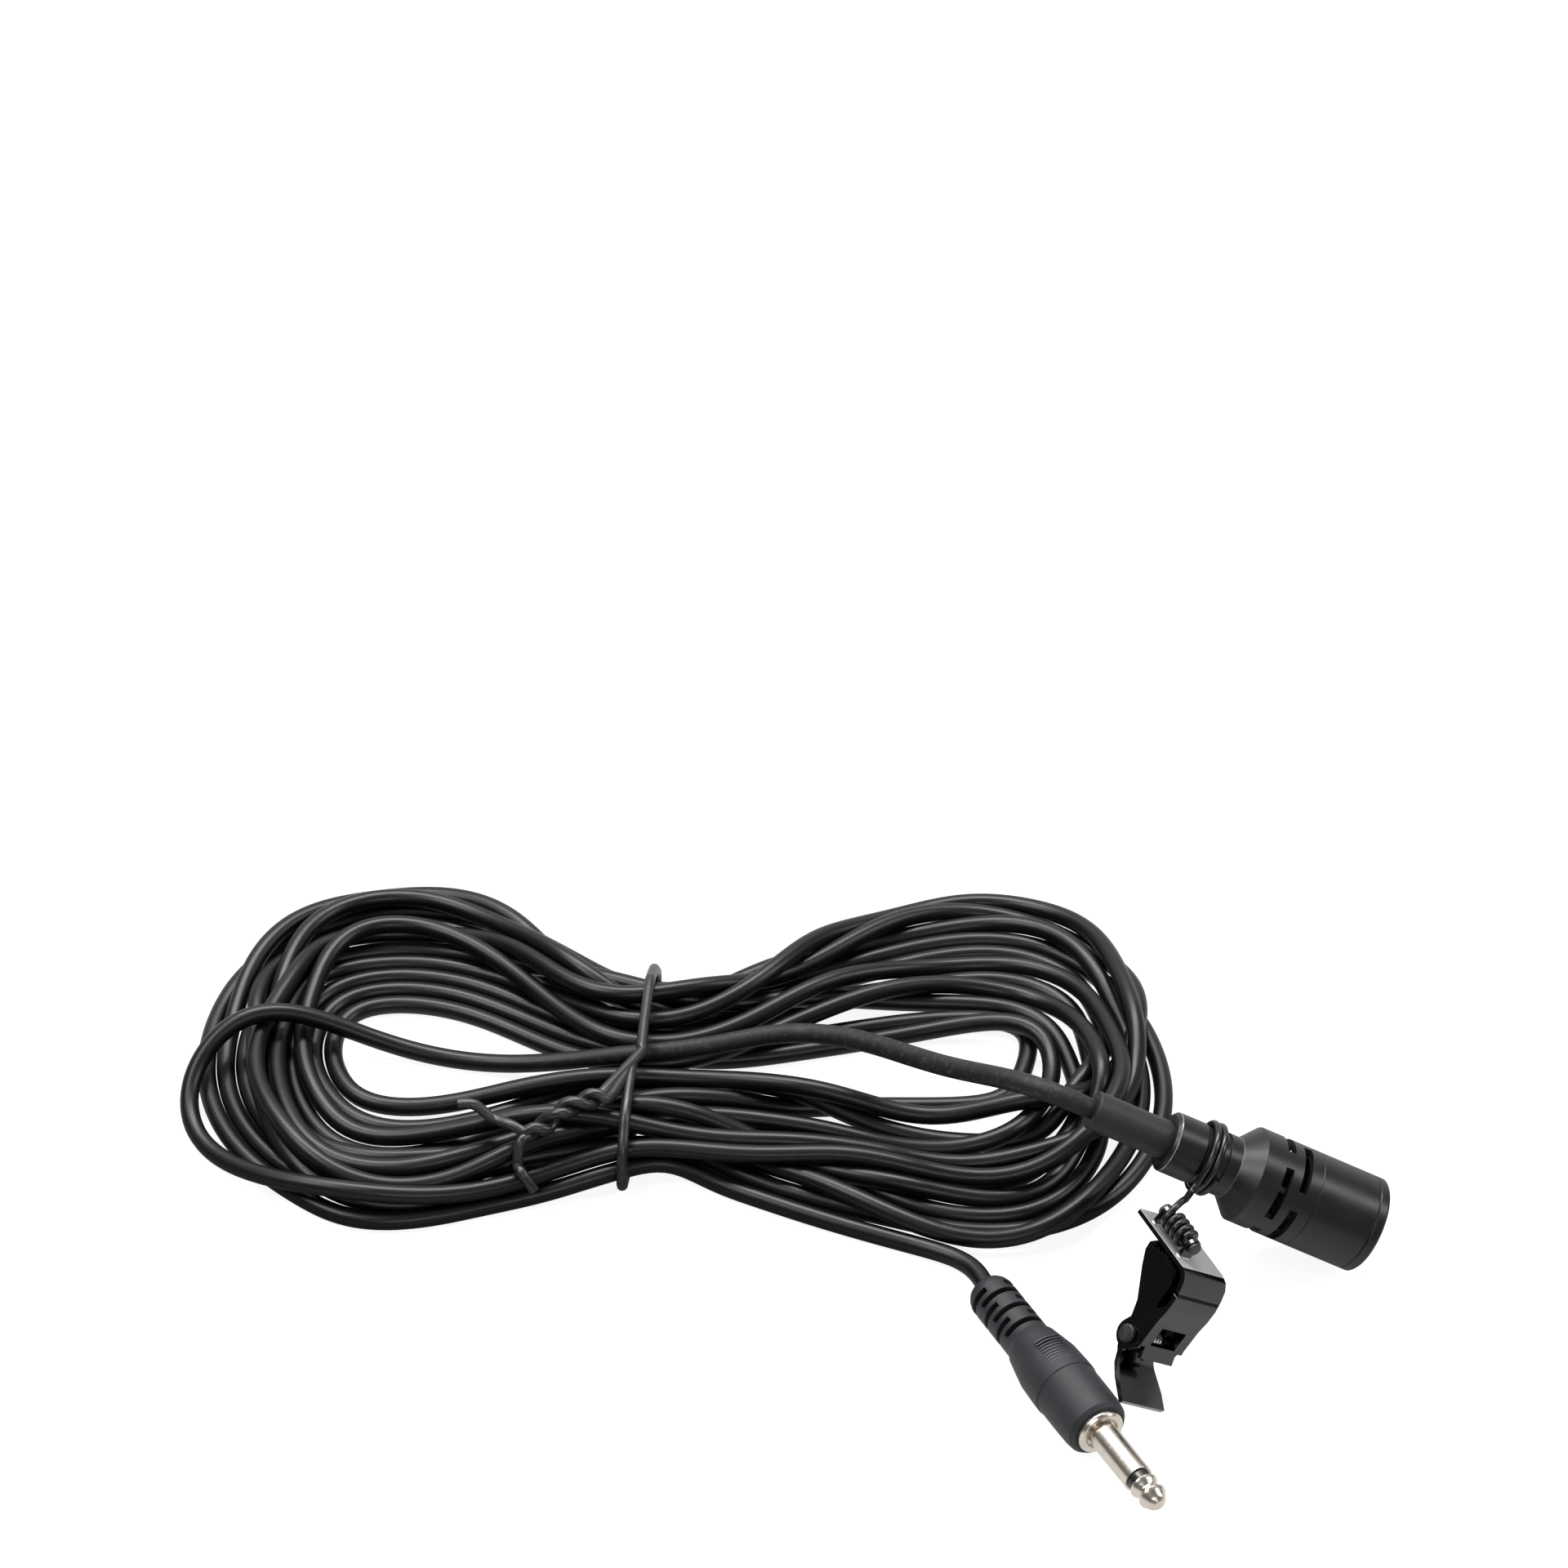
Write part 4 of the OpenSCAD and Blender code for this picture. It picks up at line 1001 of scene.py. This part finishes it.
def tie_line(diameter):
    """The tie's band, drawn tight round the waist, in millimetres."""
    lead = lead_line()
    clear = lead_radius() + diameter / 2 + 0.03
    near = lead[np.abs(lead[:, 0] - BAND_X) < 2.2][:, 1:3]
    # The band is the rim of the waist's lines, so its points are the outermost in every direction.
    angles = np.linspace(0, 2 * math.pi, 180, endpoint=False)
    rays = np.stack([np.cos(angles), np.sin(angles)], 1)
    reach = (near @ rays.T).max(0) + clear
    middle = near.mean(0)
    reach -= rays @ middle
    band = []
    for a in np.radians(np.linspace(*BAND_ENDS, 64)):
        spread = np.cos(angles - a)
        ahead = spread > 0.15
        out = float((reach[ahead] / spread[ahead]).min())
        y, z = middle + out * np.array([math.cos(a), math.sin(a)])
        band.append((y, max(z, diameter / 2 + FLOOR_GAP)))
    band = np.array(band)
    low, high = band[:, 0].min(), band[:, 0].max()
    along = np.linspace(0.45, -0.45, len(band))
    return np.column_stack([BAND_FRONT + BAND_LEAN * (band[:, 0] - low) / (high - low) + along, band])


def lead_radius():
    """The lead's radius in millimetres."""
    return bpy.context.scene.lead_settings.diameter / MM / 2


class MIC_OT_tie(bpy.types.Operator):
    """Twists the covered wire round the hank's waist"""

    bl_idname = "mic.tie"
    bl_label = "Tie"

    def execute(self, context):
        d = context.scene.lead_settings.tie_d / MM
        lead = lead_line()
        clear = lead_radius() + d / 2 + TIE_GAP
        lowest = d / 2 + FLOOR_GAP

        def top(x, y):
            """Height of the tie's middle where it lies on the lead, or on the floor."""
            near = lead[np.hypot(lead[:, 0] - x, lead[:, 1] - y) < 2.0]
            return max(lowest, float(near[:, 2].max()) + clear if len(near) else 0.0)

        start, along = np.array(TWIST_AT), np.array(TWIST_ALONG)
        rise = np.array([top(*(start + along * (k - 1))) for k in range(TWIST_STEPS + 2)])
        for _ in range(3):
            rise[1:-1] = np.maximum(rise[1:-1], 0.5 * (rise[:-2] + rise[2:]))
        twist_r = d / 2 + 0.03
        core = [np.array([*(start + along * k), rise[k + 1] + twist_r]) for k in range(TWIST_STEPS)]
        across, up = np.array([-along[1], along[0], 0.0]), np.array([0.0, 0.0, 1.0])

        def twist(phase):
            turns = [math.radians(TWIST_TURN * k + phase) for k in range(TWIST_STEPS)]
            return [p + twist_r * (math.cos(a) * across + math.sin(a) * up) for p, a in zip(core, turns)]

        def draped(places):
            return [np.array([x, y, top(x, y) + lift]) for x, y, lift in places]

        points = draped(FIRST_TAIL) + twist(180)[::-1] + list(tie_line(d)) + twist(0) + draped(LAST_TAIL)
        line = curve_through(points, 0.35)
        line[:, 2] = np.maximum(line[:, 2], lowest)
        finish = material("Tie cover", tie_cover)
        mesh = wire_mesh("tie", line * MM, d / 2 * MM, 12, finish)
        keep("tie", mesh, "microphone", finish, ("twist_tie",))
        return {"FINISHED"}


class MIC_OT_body(bpy.types.Operator):
    """Finishes the microphone's turned shells, gland and shrunk sleeve"""

    bl_idname = "mic.body"
    bl_label = "Microphone body"

    def execute(self, context):
        edge = context.scene.mic_settings.edge_round
        metal = material("Anodised metal", anodised)
        for node in ("mic_housing", "gland_nut", "head_barrel", "front_bezel"):
            rounded_copy(node, node.title().replace("_", ""), "microphone", metal, edge)
        sleeve = material("Shrunk sleeve", shrunk_sleeve)
        rounded_copy("strain_relief", "ShrunkSleeve", "microphone", sleeve, 0.16 * MM, 3)
        paint_node("cable_end", material("Jacket core", plain((0.012, 0.012, 0.014), 0.4)))
        return {"FINISHED"}


INNER_FINISHES = {
    "front_grille": ("Grille", plain((0.02, 0.02, 0.022), 0.4, 0.3)),
    "wind_cloth": ("Wind cloth", woven_cloth),
    "capsule_felt": ("Felt", plain((0.015, 0.015, 0.015), 0.95, 0.0, 2400.0, 0.0001, 0.6)),
    "capsule_can": ("Capsule can", plain((0.45, 0.45, 0.44), 0.35, 1.0)),
    "capsule_board": ("Circuit board", plain((0.012, 0.030, 0.016), 0.4)),
    "capsule_holder": ("Holder rubber", plain((0.014, 0.014, 0.014), 0.75)),
    "cable_ferrule": ("Ferrule brass", plain((0.40, 0.29, 0.13), 0.35, 1.0)),
    "lead_wires": ("Wire insulation", plain((0.020, 0.014, 0.013), 0.45)),
}


class MIC_OT_capsule(bpy.types.Operator):
    """Finishes the capsule and what is packed round it"""

    bl_idname = "mic.capsule"
    bl_label = "Capsule"

    def execute(self, context):
        for node, finish in INNER_FINISHES.items():
            paint_node(node, material(*finish))
        return {"FINISHED"}


def on_circle(radius, degrees):
    return radius * math.cos(math.radians(degrees)), radius * math.sin(math.radians(degrees))


class MIC_OT_ring(bpy.types.Operator):
    """Winds the wire ring, its stem and the swivel coil"""

    bl_idname = "mic.ring"
    bl_label = "Wire ring"

    def execute(self, context):
        wire = context.scene.clip_settings.wire_d / MM
        half = wire / 2
        # Two turns round the middle of the groove, clear of its floor.
        groove_r, groove_z = 3.6, Z_GROOVE + 1.45
        ring_r = (groove_r + 0.05) / math.cos(math.radians(7.5)) + half + 0.02
        pitch, fine = wire + 0.06, 96
        ring = [
            mic_point(*on_circle(ring_r, 255 + 360 * k / fine), groove_z - pitch * (k / fine - 1))
            for k in range(2 * fine + 1)
        ]
        # Four turns round the swivel pin, from its first hook to its second.
        pin_r, pin_x, hook_y = 0.55, -2.3, 1.9 + 0.5 + 0.2
        coil_r = (pin_r + 0.05) / math.cos(math.radians(15)) + half + 0.02
        pin_z = -0.3 - coil_r - half - 0.2
        pitch, fine = wire + 0.1, 48
        coil = []
        for k in range(4 * fine + 1):
            x, z = on_circle(coil_r, 200 - 360 * k / fine)
            coil.append(clip_point(pin_x + x, hook_y + half + pitch * k / fine, pin_z + z))
        # The stem leaves the ring and enters the coil along the wire.
        leave, enter = unit(ring[-1] - ring[-2]), unit(coil[1] - coil[0])
        a, d = ring[-1], coil[0]
        b, c = a + 7 * leave, d - 5 * enter
        stem = [
            (1 - t) ** 3 * a + 3 * (1 - t) ** 2 * t * b + 3 * (1 - t) * t**2 * c + t**3 * d
            for t in np.linspace(0, 1, 26)[1:-1]
        ]
        line = np.array(ring + stem + coil) * MM
        finish = material("Blackened wire", blackened_wire)
        mesh = wire_mesh("wire_ring", line, half * MM, 16, finish)
        keep("wire_ring", mesh, "ring", finish, ("ring_wire",))
        return {"FINISHED"}


class MIC_OT_clip(bpy.types.Operator):
    """Finishes the clip's jaws, pins and spring"""

    bl_idname = "mic.clip"
    bl_label = "Tie clip"

    def execute(self, context):
        edge = context.scene.clip_settings.edge_round
        steel = material("Plated steel", plated_steel)
        rounded_copy("clip_outer_jaw", "OuterJaw", "clip", steel, edge)
        rounded_copy("clip_inner_jaw", "InnerJaw", "inner_jaw", steel, edge)
        pin = material("Blackened pin", blackened_pin)
        rounded_copy("clip_swivel_pin", "SwivelPin", "clip", pin, 0.12 * MM, 3)
        rounded_copy("clip_hinge_pin", "HingePin", "clip", pin, 0.18 * MM, 3)
        finish = material("Spring steel", spring_steel)
        half_wire = 0.2
        pin_r, play = 0.6, 0.14
        r = pin_r + play + half_wire
        hinge_y, hinge_z = 10.2, 10.2
        pitch, turns, fine = 0.5, 4.5, 160
        half = pitch * turns / 2
        coil = []
        for k in range(fine + 1):
            a = -2 * math.pi * turns * k / fine
            x = -half + pitch * turns * k / fine
            coil.append((x, hinge_y + r * math.cos(a), hinge_z + r * math.sin(a)))
        leg_a = [(-half - 0.1, hinge_y + 1.5, hinge_z + 1.7), (-half - 0.05, hinge_y + 1.15, hinge_z + 0.8)]
        leg_b = [
            (half + 0.1, hinge_y - 0.5, hinge_z + 0.9), (half + 0.15, hinge_y + 0.05, hinge_z + 1.8),
            (half + 0.2, hinge_y + 0.85, hinge_z + 2.5),
        ]
        line = curve_through([clip_point(*p) for p in leg_a + coil], 0.12, 4) * MM
        mesh = wire_mesh("jaw_spring", line, half_wire * MM, 12, finish)
        keep("jaw_spring", mesh, "clip", finish, ("clip_spring",))
        # The leg that presses the inner jaw moves with it, and its root slides inside the coil's last bend.
        line = curve_through([clip_point(*p) for p in coil[-5:] + leg_b], 0.12, 4) * MM
        mesh = wire_mesh("jaw_spring_leg", line, (half_wire - 0.01) * MM, 12, finish)
        keep("jaw_spring_leg", mesh, "inner_jaw", finish, ())
        return {"FINISHED"}


def ridge_tree():
    """A row of fine ridges laid across a patch of the grip."""
    tree = Nodes("Grip ridges", (
        ("Count", "NodeSocketInt", 9), ("Pitch", "NodeSocketFloat", 0.0005),
        ("Radius", "NodeSocketFloat", 0.004), ("Width", "NodeSocketFloat", 0.0001),
        ("Material", "NodeSocketMaterial", None),
    ))
    arc = tree.add(
        "GeometryNodeCurveArc",
        {"Resolution": 14, "Radius": tree.given.outputs["Radius"], "Start Angle": -0.42, "Sweep Angle": 0.84},
        mode="RADIUS",
    )
    section = tree.add(
        "GeometryNodeCurvePrimitiveCircle", {"Resolution": 8, "Radius": tree.given.outputs["Width"]}
    )
    ridge = tree.add(
        "GeometryNodeCurveToMesh",
        {"Curve": arc.outputs["Curve"], "Profile Curve": section.outputs["Curve"], "Fill Caps": True},
    )
    offset = tree.add("ShaderNodeCombineXYZ", {"Z": tree.given.outputs["Pitch"]})
    row = tree.add(
        "GeometryNodeMeshLine", {"Count": tree.given.outputs["Count"], "Offset": offset.outputs["Vector"]}
    )
    placed = tree.add(
        "GeometryNodeInstanceOnPoints", {"Points": row.outputs["Mesh"], "Instance": ridge.outputs["Mesh"]}
    )
    tree.end(placed.outputs["Instances"])
    return tree


class MIC_OT_plug(bpy.types.Operator):
    """Finishes the moulded plug, with its ridged patch"""

    bl_idname = "mic.plug"
    bl_label = "Plug"

    def execute(self, context):
        settings = context.scene.plug_settings
        rubber = material("Moulded grip", moulded_grip)
        rounded_copy("plug_grip", "PlugGrip", "microphone", rubber, settings.edge_round)
        metal = material("Nickel", nickel)
        for node, name, edge in (
            ("plug_collar", "PlugCollar", 0.07), ("plug_sleeve", "PlugSleeve", 0.05),
            ("plug_tip", "PlugTip", 0.08),
        ):
            rounded_copy(node, name, "microphone", metal, edge * MM)
        paint_node("plug_insulator", material("Insulator", plain((0.008, 0.008, 0.008), 0.25)))
        source = bpy.data.objects.new("ridges", bpy.data.meshes.new("ridges"))
        mesh = grown(ridge_tree(), source, {
            "Count": settings.ridge_count, "Pitch": 0.46 * MM, "Radius": (GRIP_R - 0.09) * MM,
            "Width": 0.13 * MM, "Material": rubber,
        })
        mesh.name = "grip_ridges"
        corners = np.zeros(len(mesh.vertices) * 3)
        mesh.vertices.foreach_get("co", corners)
        first_ridge = 3.5
        placed = []
        for corner in corners.reshape(-1, 3) / MM:
            x, y, z = turned(corner, (0, 0, RIDGES_TURN))
            placed.append(plug_point(x, y, z - GRIP_L + first_ridge) * MM)
        mesh.vertices.foreach_set("co", np.array(placed).reshape(-1))
        mesh.update()
        smooth_by_angle(mesh, WIRE_SMOOTH_ANGLE)
        # The ridges are painted lighter than the grip: a painted sheen, which also lifts the shade between
        # them.
        sheen_painted = material("Ridges with painted sheen", plain(scaled(settings.grip_colour, 2.3), 0.36))
        keep("grip_ridges", mesh, "microphone", sheen_painted, ())
        return {"FINISHED"}


class MIC_OT_declare(bpy.types.Operator):
    """Works out the lead's points from the sleeve to the plug, and keeps none of them"""

    bl_idname = "mic.declare"
    bl_label = "Declare lead"

    def execute(self, context):
        line = lead_line() * MM
        tuple(line[0])
        [tuple(p) for p in line]
        return {"FINISHED"}


class MIC_PT_panel(bpy.types.Panel):
    """Lists the steps that build the microphone"""

    bl_idname = "MIC_PT_panel"
    bl_label = "Microphone"
    bl_space_type = "VIEW_3D"
    bl_region_type = "UI"
    bl_category = "Microphone"

    def draw(self, context):
        for group, steps in (
            ("stage_settings", (MIC_OT_stage,)), ("lead_settings", (MIC_OT_lead, MIC_OT_tie)),
            ("mic_settings", (MIC_OT_body, MIC_OT_capsule)), ("clip_settings", (MIC_OT_ring, MIC_OT_clip)),
            ("plug_settings", (MIC_OT_plug, MIC_OT_declare)),
        ):
            box = self.layout.box()
            settings = getattr(context.scene, group)
            for name in settings.__annotations__:
                box.prop(settings, name)
            for step in steps:
                box.operator(step.bl_idname)


GROUPS = {
    "mic_settings": MicrophoneSettings, "clip_settings": ClipSettings, "lead_settings": LeadSettings,
    "plug_settings": PlugSettings, "stage_settings": StageSettings,
}
STEPS = (
    MIC_OT_stage, MIC_OT_lead, MIC_OT_tie, MIC_OT_body, MIC_OT_capsule, MIC_OT_ring, MIC_OT_clip, MIC_OT_plug,
    MIC_OT_declare,
)


def register():
    for cls in (*GROUPS.values(), *STEPS, MIC_PT_panel):
        bpy.utils.register_class(cls)
    for name, cls in GROUPS.items():
        setattr(bpy.types.Scene, name, PointerProperty(type=cls))


def unregister():
    for name in GROUPS:
        delattr(bpy.types.Scene, name)
    for cls in (MIC_PT_panel, *reversed(STEPS), *reversed(GROUPS.values())):
        bpy.utils.unregister_class(cls)


def main():
    register()
    for step in STEPS:
        group, name = step.bl_idname.split(".")
        getattr(getattr(bpy.ops, group), name)()


if __name__ == "__main__":
    main()
